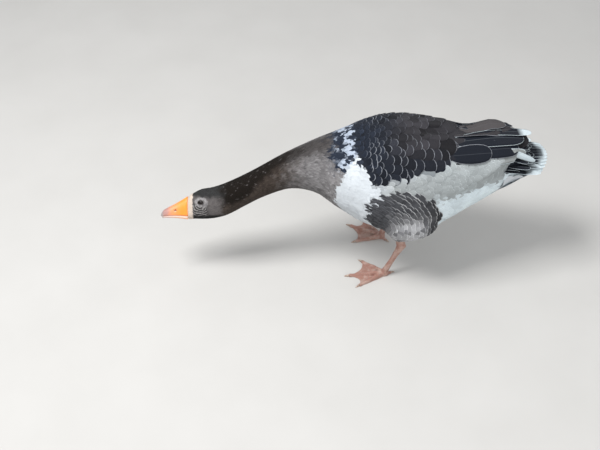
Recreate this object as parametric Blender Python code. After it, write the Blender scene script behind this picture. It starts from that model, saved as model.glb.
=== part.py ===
"""A domestic goose at life size, standing with its neck stretched forward and low.

The bird faces -Y, its left side is +X and its soles stand on Z = 0. Head, neck, breast and
trunk are one form lofted along a spine and parted by thin cuts. The folded wings and the tail
lie in recesses of that form, the thighs grow out of it, and the legs carry webbed feet.
"""

import math
from dataclasses import astuple, dataclass

import bmesh
import bpy
import numpy as np
from mathutils import Matrix, Vector

# Room left between neighbours, and the least thickness of a feather edge.
GAP = 0.0003
FEATHER_EDGE = 0.0012

# Corners on a ring, and the longest step between rings.
TRUNK_CORNERS = 28
NECK_CORNERS = 22
THIGH_CORNERS = 20
THIGH_RINGS = 10
WING_RINGS = 15
WING_ACROSS = 8
TAIL_CORNERS = 20
TOE_CORNERS = 8
TRUNK_STEP = 0.023
NECK_STEP = 0.016
HEAD_STEP = 0.0085
TAIL_STEP = 0.016

# How far the sections are from an ellipse (2) towards a box.
FULLNESS = 2.15

# The folded wings: how far they stand proud of the form they wrap, their depth in it, and how
# far their recess runs on outwards, so that it leaves no sliver of the form over them.
WING_PROUD = 0.0015
WING_DEPTH = 0.0075
WING_OPENING = 0.0060

# How far the tail's sides hang below its middle, for each metre squared aside.
TAIL_DROOP = 2.2

# Every place below is measured from a point on the ground under the front of the breast. The
# finished bird is then moved so that the middle of its box is over the origin.

# Where the spine is cut into nodes, as Y of the cut.
HEAD_CUT = -0.262
NECK_CUT = -0.165
NECK_ROOT_CUT = -0.062
BREAST_CUT = 0.048
RUMP_CUT = 0.205

# Head and bill, measured ahead of and above the eye.
HEAD_ROLL = math.radians(29.0)
EYE_RADIUS = 0.0066
EYE_OFFSET = 0.0132
EYE_ABOVE_SPINE = 0.0065
BILL_ROOT_AHEAD = 0.0215
BILL_LENGTH = 0.0645
CULMEN_ABOVE_EYE = 0.0142
TOMIUM_BELOW_EYE = 0.0300
NOSTRIL_AHEAD = 0.0325
NOSTRIL_ASIDE = 0.0105
NOSTRIL_BELOW_EYE = 0.0135
NOSTRIL_SIZE = Vector((0.0032, 0.0032, 0.0012))

# The bill's profile: its half width at the root and end, the fall and sag of its ridge, the
# rise and hook of its cutting edge, and the lower half's depth at the root and end and its
# width and length against the upper half's.
BILL_STATIONS = 14
BILL_CORNERS = 13
BILL_ROOT_WIDTH = 0.0156
BILL_END_WIDTH = 0.0098
BILL_EDGE_WIDTH = 0.0006
CULMEN_FALL = 0.0372
CULMEN_SAG = 0.0030
TOMIUM_RISE = 0.0016
TOMIUM_HOOK = 0.0022
LOWER_ROOT_DEPTH = 0.0098
LOWER_END_DEPTH = 0.0030
LOWER_WIDTH = 0.86
LOWER_LENGTH = 0.93

# Legs: both alike, apart from the way the toes point.
LEG_ASIDE = 0.0575
ANKLE_Y = 0.0845
HOCK_ASIDE = 0.0035
HOCK_Y = 0.1140
HOCK_Z = 0.0925
SHIN_Y = 0.1080
ANKLE_SIZE = Vector((0.0066, 0.0080))
WAIST_SIZE = Vector((0.0052, 0.0064))
HOCK_SIZE = Vector((0.0082, 0.0104))
SHIN_SIZE = Vector((0.0078, 0.0092))
LEFT_TOE_OUT = math.radians(4.0)
RIGHT_TOE_OUT = math.radians(28.0)
WEB_THICKNESS = 0.0026
WEB_BAY = 0.15
CLAW_LENGTH = 0.0110
HEEL = Vector((0.0078, 0.0092))
SHANK_FOOT_Z = 0.0120
TOE_ARCH_ROOT = 2.4
TOE_ARCH_END = 1.5

# How far toes, web and heel reach under the ground before the ground cuts them, each by its
# own amount so that no two lie in one plane.
TOE_SUNK = 0.0020
WEB_SUNK = 0.0010
HEEL_SUNK = 0.0030
GROUND_SIZE = 0.5


@dataclass(frozen=True)
class Section:
    """One section of a lofted form: its place on the spine, its half width, the heights above
    and below the spine, its roll towards the left, and how much narrower it is on top."""

    x: float
    y: float
    z: float
    half_width: float
    above: float
    below: float
    roll: float = 0.0
    pear: float = 0.0


@dataclass(frozen=True)
class Slice:
    """A level slice of the left thigh: its middle, and its half sizes across and along."""

    x: float
    y: float
    z: float
    half_across: float
    half_along: float


@dataclass(frozen=True)
class Toe:
    """A toe: its turn outwards from the middle one, its length to the root of its claw, its
    half widths at its root and end, and the number of its joints."""

    turn: float
    length: float
    root: float
    end: float
    joints: int


@dataclass(frozen=True)
class Band:
    """One station of a folded wing: the form that it wraps, as a Y, a centre height, a half
    width and a height above that, and the angles of its upper and lower edges in degrees."""

    y: float
    z: float
    half_width: float
    above: float
    upper_edge: float
    lower_edge: float


BODY = {
    "bill root": Section(0.0232, -0.3248, 0.1781, 0.0150, 0.0207, 0.0318, HEAD_ROLL, 0.02),
    "eye": Section(0.0232, -0.3033, 0.1781, 0.0200, 0.0318, 0.0322, HEAD_ROLL, 0.06),
    "cheek": Section(0.0226, -0.2830, 0.1792, 0.0228, 0.0330, 0.0320, HEAD_ROLL, 0.06),
    "nape": Section(0.0212, -0.2610, 0.1862, 0.0262, 0.0322, 0.0325, 0.85 * HEAD_ROLL, 0.04),
    "upper neck": Section(0.0180, -0.2340, 0.1990, 0.0282, 0.0300, 0.0300, 0.6 * HEAD_ROLL, 0.0),
    "middle neck": Section(0.0120, -0.1800, 0.2280, 0.0290, 0.0292, 0.0295, 0.3 * HEAD_ROLL, 0.0),
    "lower neck": Section(0.0060, -0.1200, 0.2550, 0.0370, 0.0365, 0.0375, 0.1 * HEAD_ROLL, 0.0),
    "neck root": Section(0.0020, -0.0620, 0.2630, 0.0560, 0.0560, 0.0570, 0.0, 0.0),
    "breast": Section(0.0, 0.0000, 0.2550, 0.0890, 0.0920, 0.0850, 0.0, 0.0),
    "keel": Section(0.0, 0.0560, 0.2460, 0.1110, 0.1120, 0.1060, 0.0, 0.01),
    "back": Section(0.0, 0.1050, 0.2420, 0.1180, 0.1200, 0.1170, 0.0, 0.02),
    "belly": Section(0.0, 0.1500, 0.2440, 0.1110, 0.1120, 0.1080, 0.0, 0.03),
    "vent": Section(0.0, 0.2200, 0.2580, 0.0860, 0.0840, 0.0820, 0.0, 0.04),
    "rump": Section(0.0, 0.2850, 0.2710, 0.0640, 0.0620, 0.0530, 0.0, 0.05),
    "stern": Section(0.0, 0.3430, 0.2780, 0.0400, 0.0330, 0.0240, 0.0, 0.05),
}

FOLDED_WING = {
    "wrist": Band(0.0120, 0.2530, 0.0920, 0.0935, 54.0, 41.0),
    "elbow": Band(0.0700, 0.2450, 0.1145, 0.1160, 74.0, 18.0),
    "flank": Band(0.1400, 0.2430, 0.1140, 0.1155, 83.0, 9.0),
    "secondaries": Band(0.2100, 0.2560, 0.0920, 0.0925, 87.0, 6.0),
    "tertials": Band(0.2900, 0.2700, 0.0750, 0.0775, 89.0, 30.0),
    "last tertial": Band(0.3300, 0.2800, 0.0560, 0.0600, 89.0, 47.0),
    "wing tip": Band(0.3520, 0.2860, 0.0480, 0.0500, 88.0, 66.0),
}

TAIL = {
    "tail root": Section(0.0, 0.2650, 0.2780, 0.0420, 0.0130, 0.0160),
    "tail coverts": Section(0.0, 0.3100, 0.2830, 0.0560, 0.0120, 0.0140),
    "tail middle": Section(0.0, 0.3500, 0.2865, 0.0600, 0.0080, 0.0080),
    "tail end": Section(0.0, 0.3820, 0.2885, 0.0500, 0.0045, 0.0045),
    "tail tip": Section(0.0, 0.3970, 0.2895, 0.0230, 0.0022, 0.0022),
}

THIGH = {
    "shin": Slice(0.0610, 0.1080, 0.1125, 0.0095, 0.0120),
    "knuckle": Slice(0.0660, 0.1160, 0.1290, 0.0190, 0.0290),
    "calf": Slice(0.0720, 0.1220, 0.1500, 0.0310, 0.0470),
    "thigh": Slice(0.0760, 0.1250, 0.1760, 0.0395, 0.0570),
    "knee": Slice(0.0740, 0.1220, 0.2050, 0.0380, 0.0560),
    "flank": Slice(0.0640, 0.1150, 0.2350, 0.0300, 0.0450),
}

TOES = {
    "inner": Toe(math.radians(-42.0), 0.0600, 0.0055, 0.0036, 2),
    "middle": Toe(0.0, 0.0775, 0.0060, 0.0038, 3),
    "outer": Toe(math.radians(27.0), 0.0660, 0.0055, 0.0034, 3),
    "hind": Toe(math.radians(-165.0), 0.0150, 0.0042, 0.0030, 1),
}


class Run:
    """A smooth run through stations of one kind, by a cubic between each two."""

    def __init__(self, stations, keys):
        self.kind = type(stations[0])
        self.values = np.array([astuple(station) for station in stations])
        self.keys = np.asarray(keys)
        self.slopes = np.gradient(self.values, self.keys, axis=0)

    def at(self, key):
        """The station at this place along the run."""
        last = len(self.keys) - 2
        i = int(np.clip(np.searchsorted(self.keys, key) - 1, 0, last))
        span = self.keys[i + 1] - self.keys[i]
        t = (key - self.keys[i]) / span
        ease = t * t * (3.0 - 2.0 * t)
        leave = self.slopes[i] * t * (1.0 - t) ** 2 * span
        arrive = self.slopes[i + 1] * t * t * (t - 1.0) * span
        return self.kind(*(self.values[i] * (1.0 - ease) + self.values[i + 1] * ease + leave + arrive))


class Spine(Run):
    """A run through sections, measured by the length along it."""

    def __init__(self, sections):
        places = np.array([(section.x, section.y, section.z) for section in sections])
        steps = np.linalg.norm(np.diff(places, axis=0), axis=1)
        super().__init__(sections, np.concatenate([[0.0], np.cumsum(steps)]))

    def length_at_y(self, y):
        """The length at which the spine crosses this Y."""
        lengths = np.linspace(0.0, self.keys[-1], 2000)
        return float(np.interp(y, [self.at(length).y for length in lengths], lengths))

    def axes(self, length):
        """Centre, left and up of the section at this length."""
        section = self.at(length)
        step = 0.0005
        ahead = self.at(min(length + step, self.keys[-1]))
        behind = self.at(max(length - step, 0.0))
        tangent = Vector((ahead.x - behind.x, ahead.y - behind.y, ahead.z - behind.z)).normalized()
        left = tangent.cross(Vector((0.0, 0.0, 1.0))).normalized()
        up = left.cross(tangent)
        turn = Matrix.Rotation(-section.roll, 3, tangent)
        return Vector((section.x, section.y, section.z)), turn @ left, turn @ up

    def surface(self, length, angle, fullness):
        """The point at this angle round the section, 0 at the left and a quarter turn on top."""
        section = self.at(length)
        centre, left, up = self.axes(length)
        across = power(math.cos(angle), 2.0 / fullness)
        rise = power(math.sin(angle), 2.0 / fullness)
        half_height = section.above if rise > 0.0 else section.below
        half_width = section.half_width * (1.0 - section.pear * rise)
        return centre + left * across * half_width + up * rise * half_height


def power(value, exponent):
    """A power that keeps the sign of its base."""
    return math.copysign(abs(value) ** exponent, value)


def clear_scene():
    for obj in list(bpy.data.objects):
        bpy.data.objects.remove(obj, do_unlink=True)


def collection(name):
    """A new collection in the scene."""
    made = bpy.data.collections.new(name)
    bpy.context.scene.collection.children.link(made)
    return made


def finish(name, colour, roughness, metallic=0.0):
    """A plain material with a colour and a roughness."""
    material = bpy.data.materials.new(name)
    material.use_nodes = True
    shader = material.node_tree.nodes["Principled BSDF"]
    shader.inputs["Base Color"].default_value = (*colour, 1.0)
    shader.inputs["Roughness"].default_value = roughness
    shader.inputs["Metallic"].default_value = metallic
    return material


def loft(name, rings, material, group):
    """A closed solid through rings of equal corner count, with a flat face on each end."""
    bm = bmesh.new()
    loops = [[bm.verts.new(point) for point in ring] for ring in rings]
    corners = len(loops[0])
    for near, far in zip(loops, loops[1:]):
        for k in range(corners):
            after = (k + 1) % corners
            bm.faces.new((near[k], near[after], far[after], far[k]))
    bm.faces.new(loops[0][::-1])
    bm.faces.new(loops[-1])
    bmesh.ops.recalc_face_normals(bm, faces=bm.faces)
    return add_object(name, bm, material, group)


def add_object(name, bm, material, group):
    """An object made of this mesh in triangles, shaded smooth apart from its hard edges."""
    bmesh.ops.triangulate(bm, faces=bm.faces)
    mesh = bpy.data.meshes.new(name)
    bm.to_mesh(mesh)
    bm.free()
    mesh.shade_smooth()
    mesh.set_sharp_from_angle(angle=math.radians(40.0))
    mesh.materials.append(material)
    obj = bpy.data.objects.new(name, mesh)
    group.objects.link(obj)
    return obj


def as_cutter(obj):
    """Marks an object as a helper that the model is cut with."""
    obj.hide_render = True
    obj.display_type = "WIRE"
    return obj


def grown_copy(obj, cutters, room=GAP):
    """A copy of a piece, larger by the room left round it, to cut its neighbours with."""
    bm = bmesh.new()
    bm.from_mesh(obj.data)
    bm.normal_update()
    moves = [vert.normal * room * min(vert.calc_shell_factor(), 2.0) for vert in bm.verts]
    for vert, move in zip(bm.verts, moves):
        vert.co += move
    return as_cutter(add_object("room for " + obj.name, bm, obj.data.materials[0], cutters))


def join_with(obj, other):
    """A Boolean union, which stays live."""
    boolean = obj.modifiers.new("with " + other.name, "BOOLEAN")
    boolean.operation = "UNION"
    boolean.solver = "EXACT"
    boolean.object = other


def cut_with(obj, cutter):
    """A Boolean difference, which stays live."""
    boolean = obj.modifiers.new("less " + cutter.name, "BOOLEAN")
    boolean.operation = "DIFFERENCE"
    boolean.solver = "EXACT"
    boolean.object = cutter


def spine_rings(spine, start, end, step, corners, fullness=FULLNESS):
    """Rings of a spine between two lengths, no further apart than the step."""
    count = max(2, math.ceil((end - start) / step) + 1)
    angles = [math.tau * k / corners for k in range(corners)]
    return [
        [spine.surface(length, angle, fullness) for angle in angles]
        for length in np.linspace(start, end, count)
    ]


def body_piece(name, spine, from_y, to_y, step, corners, material, group):
    """The stretch of the body between two cuts, half a gap clear of each."""
    start = 0.0 if from_y is None else spine.length_at_y(from_y) + GAP / 2
    end = spine.keys[-1] if to_y is None else spine.length_at_y(to_y) - GAP / 2
    return loft(name, spine_rings(spine, start, end, step, corners), material, group)


def make_body(finishes, group):
    """Head, neck, breast, trunk and rump, in the order of the spine."""
    spine = Spine(list(BODY.values()))
    cuts = (
        ("head", None, HEAD_CUT, HEAD_STEP, NECK_CORNERS, "dark plumage"),
        ("neck_upper", HEAD_CUT, NECK_CUT, NECK_STEP, NECK_CORNERS, "dark plumage"),
        ("neck_lower", NECK_CUT, NECK_ROOT_CUT, NECK_STEP, NECK_CORNERS, "dark plumage"),
        ("breast", NECK_ROOT_CUT, BREAST_CUT, TRUNK_STEP, TRUNK_CORNERS, "plumage"),
        ("trunk", BREAST_CUT, RUMP_CUT, TRUNK_STEP, TRUNK_CORNERS, "plumage"),
        ("rump", RUMP_CUT, None, TRUNK_STEP, TRUNK_CORNERS, "rump feathers"),
    )
    return spine, {
        name: body_piece(name, spine, from_y, to_y, step, corners, finishes[look], group)
        for name, from_y, to_y, step, corners, look in cuts
    }


def wing_rings(run, side):
    """Bands of a folded wing: an outer arc over the flank, and an inner arc back under it."""
    rings = []
    for y in np.linspace(run.keys[0], run.keys[-1], WING_RINGS):
        band = run.at(y)
        along = (y - run.keys[0]) / (run.keys[-1] - run.keys[0])
        body = math.sin(math.pi * min(0.5, 0.06 + along)) * (1.0 - 0.75 * along**3)
        outer = []
        inner = []
        for share in np.linspace(0.0, 1.0, WING_ACROSS):
            angle = math.radians(band.upper_edge + (band.lower_edge - band.upper_edge) * share)
            arch = math.sin(math.pi * share) ** 0.6 * body
            for points, offset in (
                (outer, WING_PROUD * arch),
                (inner, -FEATHER_EDGE - WING_DEPTH * arch),
            ):
                across = power(math.cos(angle), 2.0 / FULLNESS) * (band.half_width + offset)
                rise = power(math.sin(angle), 2.0 / FULLNESS) * (band.above + offset)
                points.append(Vector((side * across, y, band.z + rise)))
        rings.append(outer + inner[::-1])
    return rings


def make_wings(finishes, group):
    """The two folded wings, which lie on the trunk and reach back over the tail."""
    bands = list(FOLDED_WING.values())
    run = Run(bands, [band.y for band in bands])
    return {
        name: loft(name, wing_rings(run, side), finishes["wing plumage"], group)
        for name, side in (("wing_left", 1), ("wing_right", -1))
    }


def wing_room(wing, cutters):
    """What a wing takes out of its neighbours: its own room, and the air outside it."""
    room = grown_copy(wing, cutters)
    for vert in room.data.vertices:
        out = Vector((vert.co.x, 0.0, vert.co.z - FOLDED_WING["flank"].z)).normalized()
        if vert.normal.dot(out) > 0.0:
            vert.co += out * WING_OPENING
    return room


def make_tail(finishes, group):
    """The closed fan of the tail: flat, rounded at its end and drooping at its sides."""
    spine = Spine(list(TAIL.values()))
    rings = spine_rings(spine, 0.0, spine.keys[-1], TAIL_STEP, TAIL_CORNERS, fullness=2.6)
    for ring in rings:
        for point in ring:
            point.z -= TAIL_DROOP * point.x**2
    return loft("tail", rings, finishes["tail plumage"], group)


def thigh_rings(side):
    """Level rings up the feathered part of a leg, from the shin to the flank."""
    slices = list(THIGH.values())
    run = Run(slices, [piece.z for piece in slices])
    angles = [math.tau * k / THIGH_CORNERS for k in range(THIGH_CORNERS)]
    rings = []
    for z in np.linspace(run.keys[0], run.keys[-1], THIGH_RINGS):
        at = run.at(z)
        rings.append(
            [
                Vector(
                    (
                        side * (at.x + at.half_across * math.cos(angle)),
                        at.y + at.half_along * math.sin(angle),
                        z,
                    )
                )
                for angle in angles
            ]
        )
    return rings


def leg_side(name):
    """1 for a left piece and -1 for a right one."""
    return 1 if name.endswith("left") else -1


def make_shank(side_name, finishes, group):
    """The bare leg: a slim tarsus, the knob of the hock, and the end of the shin."""
    side = leg_side(side_name)
    ankle = Vector((side * LEG_ASIDE, ANKLE_Y, SHANK_FOOT_Z))
    hock = Vector((side * (LEG_ASIDE + HOCK_ASIDE), HOCK_Y, HOCK_Z))
    shin = Vector((side * (LEG_ASIDE + HOCK_ASIDE), SHIN_Y, THIGH["shin"].z - GAP))
    steps = (
        (ankle, ANKLE_SIZE),
        (ankle.lerp(hock, 0.16), ANKLE_SIZE.lerp(WAIST_SIZE, 0.6)),
        (ankle.lerp(hock, 0.38), WAIST_SIZE),
        (ankle.lerp(hock, 0.62), WAIST_SIZE * 1.04),
        (ankle.lerp(hock, 0.82), WAIST_SIZE.lerp(HOCK_SIZE, 0.45)),
        (hock, HOCK_SIZE),
        (hock.lerp(shin, 0.55), HOCK_SIZE.lerp(SHIN_SIZE, 0.6)),
        (shin, SHIN_SIZE),
    )
    rings = [
        [
            centre + Vector((size.x * math.cos(angle), size.y * math.sin(angle), 0.0))
            for angle in np.linspace(0.0, math.tau, 12, endpoint=False)
        ]
        for centre, size in steps
    ]
    return loft("shank_" + side_name, rings, finishes["leg"], group)


def toe_direction(turn, side):
    """Where a toe points that is turned out by this angle."""
    return Vector((side * math.sin(turn), -math.cos(turn), 0.0))


def arched_ring(centre, across, half, tall, corners, sunk=0.0):
    """A ring that is round above and flat below, where it may reach under the ground."""
    ring = []
    for k in range(corners):
        angle = math.pi * k / (corners - 1)
        rise = tall * max(0.0, math.sin(angle)) ** 0.8
        ring.append(centre + across * half * math.cos(angle) + Vector((0.0, 0.0, rise)))
    if sunk:
        ring += [point - Vector((0.0, 0.0, sunk)) for point in (ring[-1], ring[0])]
    return ring


def toe_rings(foot, direction, toe):
    """Rings along a toe, which swells at each joint and stands tallest at its root."""
    across = Vector((direction.y, -direction.x, 0.0))
    stations = 2 * toe.joints + 2
    rings = []
    for k in range(stations + 1):
        along = k / stations
        swell = 1.0 + 0.10 * math.cos(math.tau * toe.joints * along)
        half = (toe.root + (toe.end - toe.root) * along) * swell
        tall = half * (TOE_ARCH_ROOT + (TOE_ARCH_END - TOE_ARCH_ROOT) * along)
        centre = foot + direction * toe.length * along
        rings.append(arched_ring(centre, across, half, tall, TOE_CORNERS, TOE_SUNK))
    return rings


def claw_rings(foot, direction, toe):
    """Rings of a blunt nail, just clear of the end of its toe."""
    across = Vector((direction.y, -direction.x, 0.0))
    reach = CLAW_LENGTH * toe.end / TOES["middle"].end
    rings = []
    for along in (0.0, 0.45, 1.0):
        centre = foot + direction * (toe.length + GAP + reach * along)
        taper = 1.0 - 0.78 * along**1.5
        rings.append(
            arched_ring(centre, across, 0.8 * toe.end * taper, 1.5 * toe.end * taper, TOE_CORNERS - 1)
        )
    return rings


def web_outline(foot, ends):
    """The edge of the web: from the heel to the first toe's end, and in a bay to each next."""
    points = [foot]
    for near, far in zip(ends, ends[1:]):
        for share in np.linspace(0.0, 1.0, 7):
            pull = WEB_BAY * math.sin(math.pi * share)
            point = near.lerp(far, share).lerp(foot, pull)
            if (point - points[-1]).length > GAP:
                points.append(point)
    return points


def web_solid(name, outline, material, group):
    """The web as a flat outline with a thickness."""
    bm = bmesh.new()
    below = Vector((0.0, 0.0, -WEB_SUNK))
    face = bm.faces.new([bm.verts.new(point + below) for point in outline])
    top = bmesh.ops.extrude_face_region(bm, geom=[face])["geom"]
    raised = [item for item in top if isinstance(item, bmesh.types.BMVert)]
    bmesh.ops.translate(bm, verts=raised, vec=(0.0, 0.0, WEB_THICKNESS + WEB_SUNK))
    bmesh.ops.recalc_face_normals(bm, faces=bm.faces)
    return add_object(name, bm, material, group)


def heel_rings(foot):
    """Rings of the pad under the ankle, up to the end of the shank."""
    rings = []
    for z, size in ((-HEEL_SUNK, 0.85), (0.004, 1.0), (SHANK_FOOT_Z - GAP, 0.9)):
        rings.append(
            [
                foot
                + Vector((size * HEEL.x * math.cos(angle), size * HEEL.y * math.sin(angle), z))
                for angle in np.linspace(0.0, math.tau, 12, endpoint=False)
            ]
        )
    return rings


def make_ground(cutters):
    """A block under the ground, which cuts every sole flat at one level."""
    bm = bmesh.new()
    bmesh.ops.create_cube(bm, size=GROUND_SIZE)
    bmesh.ops.translate(bm, verts=bm.verts, vec=(0.0, 0.0, -GROUND_SIZE / 2))
    return as_cutter(add_object("ground", bm, finish("ground", (0.5, 0.5, 0.5), 0.9), cutters))


def make_foot(side_name, toe_out, finishes, group, cutters):
    """A webbed foot, flat on the ground, with a small hind toe and four claws."""
    side = leg_side(side_name)
    foot = Vector((side * LEG_ASIDE, ANKLE_Y, 0.0))
    solid = loft("foot_" + side_name, heel_rings(foot), finishes["leg"], group)
    web_ends = []
    for name, toe in TOES.items():
        direction = toe_direction(toe.turn + toe_out, side)
        label = f"{name} toe, {side_name}"
        piece = loft(label, toe_rings(foot, direction, toe), finishes["leg"], cutters)
        join_with(solid, as_cutter(piece))
        if name != "hind":
            web_ends.append(foot + direction * toe.length * 0.97)
        claw = f"claw_{name}_{side_name}"
        loft(claw, claw_rings(foot, direction, toe), finishes["claw"], group)
    web = web_solid(f"web, {side_name}", web_outline(foot, web_ends), finishes["leg"], cutters)
    join_with(solid, as_cutter(web))
    return solid


class HeadFrame:
    """Axes of the head, from the middle of the head at the eyes' level."""

    def __init__(self, spine):
        length = spine.length_at_y(BODY["eye"].y)
        centre, self.left, self.up = spine.axes(length)
        self.middle = centre + self.up * EYE_ABOVE_SPINE
        self.forward = Vector((0.0, -1.0, 0.0))
        self.left = (self.left - self.forward * self.left.dot(self.forward)).normalized()
        self.up = self.forward.cross(self.left)

    def place(self, ahead, above, left=0.0):
        return self.middle + self.forward * ahead + self.up * above + self.left * left


def make_eyes(head, frame, finishes, group, cutters):
    """Two eyeballs in sockets, a little proud of the head."""
    for name, side in (("eye_left", 1), ("eye_right", -1)):
        bm = bmesh.new()
        bmesh.ops.create_uvsphere(bm, u_segments=14, v_segments=8, radius=EYE_RADIUS)
        centre = frame.place(0.0, 0.0, side * EYE_OFFSET)
        bmesh.ops.translate(bm, verts=bm.verts, vec=centre)
        eye = add_object(name, bm, finishes["eye"], group)
        cut_with(head, grown_copy(eye, cutters))


def bill_ring(frame, reach, edge, height, half, crown, side):
    """Half a ring of the bill, from one cutting edge over to the other, with the powers that
    shape its crown and its sides."""
    ring = []
    for angle in np.linspace(0.0, math.pi, BILL_CORNERS):
        rise = height * max(0.0, math.sin(angle)) ** crown
        across = half * power(math.cos(angle), side)
        ring.append(frame.place(BILL_ROOT_AHEAD + GAP + reach, edge + rise, across))
    return ring


def bill_rings(frame, upper):
    """Rings of one half of the bill, from its root to its tip."""
    rings = []
    for along in np.linspace(0.0, 1.0, BILL_STATIONS):
        reach = (BILL_LENGTH - GAP) * (1.0 - (1.0 - along) ** 1.35)
        share = (reach + GAP) / BILL_LENGTH
        blunt = math.sqrt(max(0.0, 1.0 - share**7))
        width = BILL_ROOT_WIDTH + (BILL_END_WIDTH - BILL_ROOT_WIDTH) * share - BILL_EDGE_WIDTH
        half = width * blunt + BILL_EDGE_WIDTH
        bow = math.sin(math.pi * share)
        edge = TOMIUM_RISE * bow - TOMIUM_HOOK * share**6 - TOMIUM_BELOW_EYE
        if upper:
            ridge = CULMEN_ABOVE_EYE - CULMEN_FALL * share - CULMEN_SAG * bow
            height = (ridge - edge) * blunt**1.3 + BILL_EDGE_WIDTH
            rings.append(bill_ring(frame, reach, edge, height, half, 0.95, 0.72))
        else:
            depth = LOWER_ROOT_DEPTH + (LOWER_END_DEPTH - LOWER_ROOT_DEPTH) * share
            reach *= LOWER_LENGTH
            rings.append(bill_ring(frame, reach, edge - GAP, -depth, half * LOWER_WIDTH, 0.8, 1.0))
    return rings


def make_bill(frame, finishes, group, cutters):
    """The two halves of the bill, with a nostril pit on each side of the upper one."""
    upper = loft("bill_upper", bill_rings(frame, True), finishes["bill"], group)
    loft("bill_lower", bill_rings(frame, False), finishes["bill"], group)
    for side in (1, -1):
        bm = bmesh.new()
        bmesh.ops.create_uvsphere(bm, u_segments=12, v_segments=8, radius=1.0)
        bmesh.ops.scale(bm, verts=bm.verts, vec=NOSTRIL_SIZE)
        axes = Matrix((frame.forward, frame.left, frame.up)).transposed()
        bmesh.ops.rotate(bm, verts=bm.verts, cent=(0.0, 0.0, 0.0), matrix=axes)
        ahead = BILL_ROOT_AHEAD + NOSTRIL_AHEAD
        spot = frame.place(ahead, -NOSTRIL_BELOW_EYE, side * NOSTRIL_ASIDE)
        bmesh.ops.translate(bm, verts=bm.verts, vec=spot)
        pit = add_object("nostril pit", bm, finishes["bill"], cutters)
        cut_with(upper, as_cutter(pit))


def centre_on_origin(group, cutters):
    """Moves everything so that the middle of the bird's box is over the origin."""
    points = np.array([vert.co for obj in group.objects for vert in obj.data.vertices])
    middle = (points.min(axis=0) + points.max(axis=0)) / 2
    for obj in (*group.objects, *cutters.objects):
        obj.location = (-middle[0], -middle[1], 0.0)


def make_finishes():
    """The materials, by name."""
    return {
        "plumage": finish("white and grey plumage", (0.72, 0.72, 0.70), 0.85),
        "dark plumage": finish("charcoal plumage", (0.09, 0.08, 0.075), 0.85),
        "rump feathers": finish("white rump feathers", (0.78, 0.78, 0.76), 0.85),
        "wing plumage": finish("slate plumage", (0.07, 0.07, 0.08), 0.8),
        "tail plumage": finish("tail plumage", (0.15, 0.14, 0.14), 0.8),
        "bill": finish("bill horn", (0.90, 0.40, 0.08), 0.45),
        "leg": finish("leg skin", (0.72, 0.30, 0.20), 0.6),
        "claw": finish("claw horn", (0.72, 0.62, 0.52), 0.45),
        "eye": finish("dark eye", (0.03, 0.018, 0.012), 0.08),
    }


def main():
    clear_scene()
    group = collection("domestic goose")
    cutters = collection("cutters")
    finishes = make_finishes()
    spine, body = make_body(finishes, group)
    frame = HeadFrame(spine)
    make_eyes(body["head"], frame, finishes, group, cutters)
    make_bill(frame, finishes, group, cutters)
    wings = make_wings(finishes, group)
    tail = make_tail(finishes, group)
    for wing in wings.values():
        room = wing_room(wing, cutters)
        for piece in (body["breast"], body["trunk"], body["rump"], tail):
            cut_with(piece, room)
    whole_trunk = grown_copy(body["trunk"], cutters)
    cut_with(body["rump"], grown_copy(tail, cutters))
    ground = make_ground(cutters)
    for side_name, toe_out in (("left", LEFT_TOE_OUT), ("right", RIGHT_TOE_OUT)):
        rings = thigh_rings(leg_side(side_name))
        cut_with(loft("thigh_" + side_name, rings, finishes["plumage"], group), whole_trunk)
        shank = make_shank(side_name, finishes, group)
        foot = make_foot(side_name, toe_out, finishes, group, cutters)
        cut_with(foot, ground)
        cut_with(foot, grown_copy(shank, cutters))
    centre_on_origin(group, cutters)


main()
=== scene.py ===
"""A domestic goose at life size, standing with its neck stretched forward and low.

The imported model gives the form. Its flesh becomes one skin, the skin grows coats of closed feather
vanes, and bill, eyes, lids, legs and claws get shapes and finishes of their own.
"""

import logging
import math
from collections.abc import Callable, Iterator
from contextlib import contextmanager
from dataclasses import dataclass
from enum import Enum

import bpy
import numpy as np
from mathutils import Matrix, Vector
from mathutils.bvhtree import BVHTree
from mathutils.noise import noise


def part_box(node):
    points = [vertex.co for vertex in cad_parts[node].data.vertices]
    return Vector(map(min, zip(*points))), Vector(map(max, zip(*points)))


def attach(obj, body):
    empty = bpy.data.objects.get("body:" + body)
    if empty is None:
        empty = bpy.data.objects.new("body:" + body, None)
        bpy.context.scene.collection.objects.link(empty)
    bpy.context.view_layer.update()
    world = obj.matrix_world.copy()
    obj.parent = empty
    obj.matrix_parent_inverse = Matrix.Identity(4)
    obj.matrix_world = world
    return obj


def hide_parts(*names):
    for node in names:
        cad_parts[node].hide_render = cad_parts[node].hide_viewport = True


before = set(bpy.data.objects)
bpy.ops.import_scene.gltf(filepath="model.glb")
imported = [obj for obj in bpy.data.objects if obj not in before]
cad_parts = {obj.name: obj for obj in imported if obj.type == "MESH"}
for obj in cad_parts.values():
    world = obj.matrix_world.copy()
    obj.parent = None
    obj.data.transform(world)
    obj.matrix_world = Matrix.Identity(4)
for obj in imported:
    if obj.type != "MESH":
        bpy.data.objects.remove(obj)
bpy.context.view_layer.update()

log = logging.getLogger("goose")

Array = np.ndarray
Chance = np.random.Generator
Material = bpy.types.Material
Mesh = bpy.types.Mesh
Pair = tuple[float, float]
Piece = bpy.types.Object
Socket = bpy.types.NodeSocket
Triple = tuple[float, float, float]

BODY = "root"
TOES = ("inner", "middle", "outer", "hind")
FLESH_NODES = (
    "head", "neck_upper", "neck_lower", "breast", "trunk", "rump",
    "wing_left", "wing_right", "thigh_left", "thigh_right",
)
NOISE_SHIFT = (7.3, 3.1, 5.7)
NOISE_GAIN = 1.6
BRIGHTEST = 0.9
OUTSIDE = 0.3
SEAM = 0.00002


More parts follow.
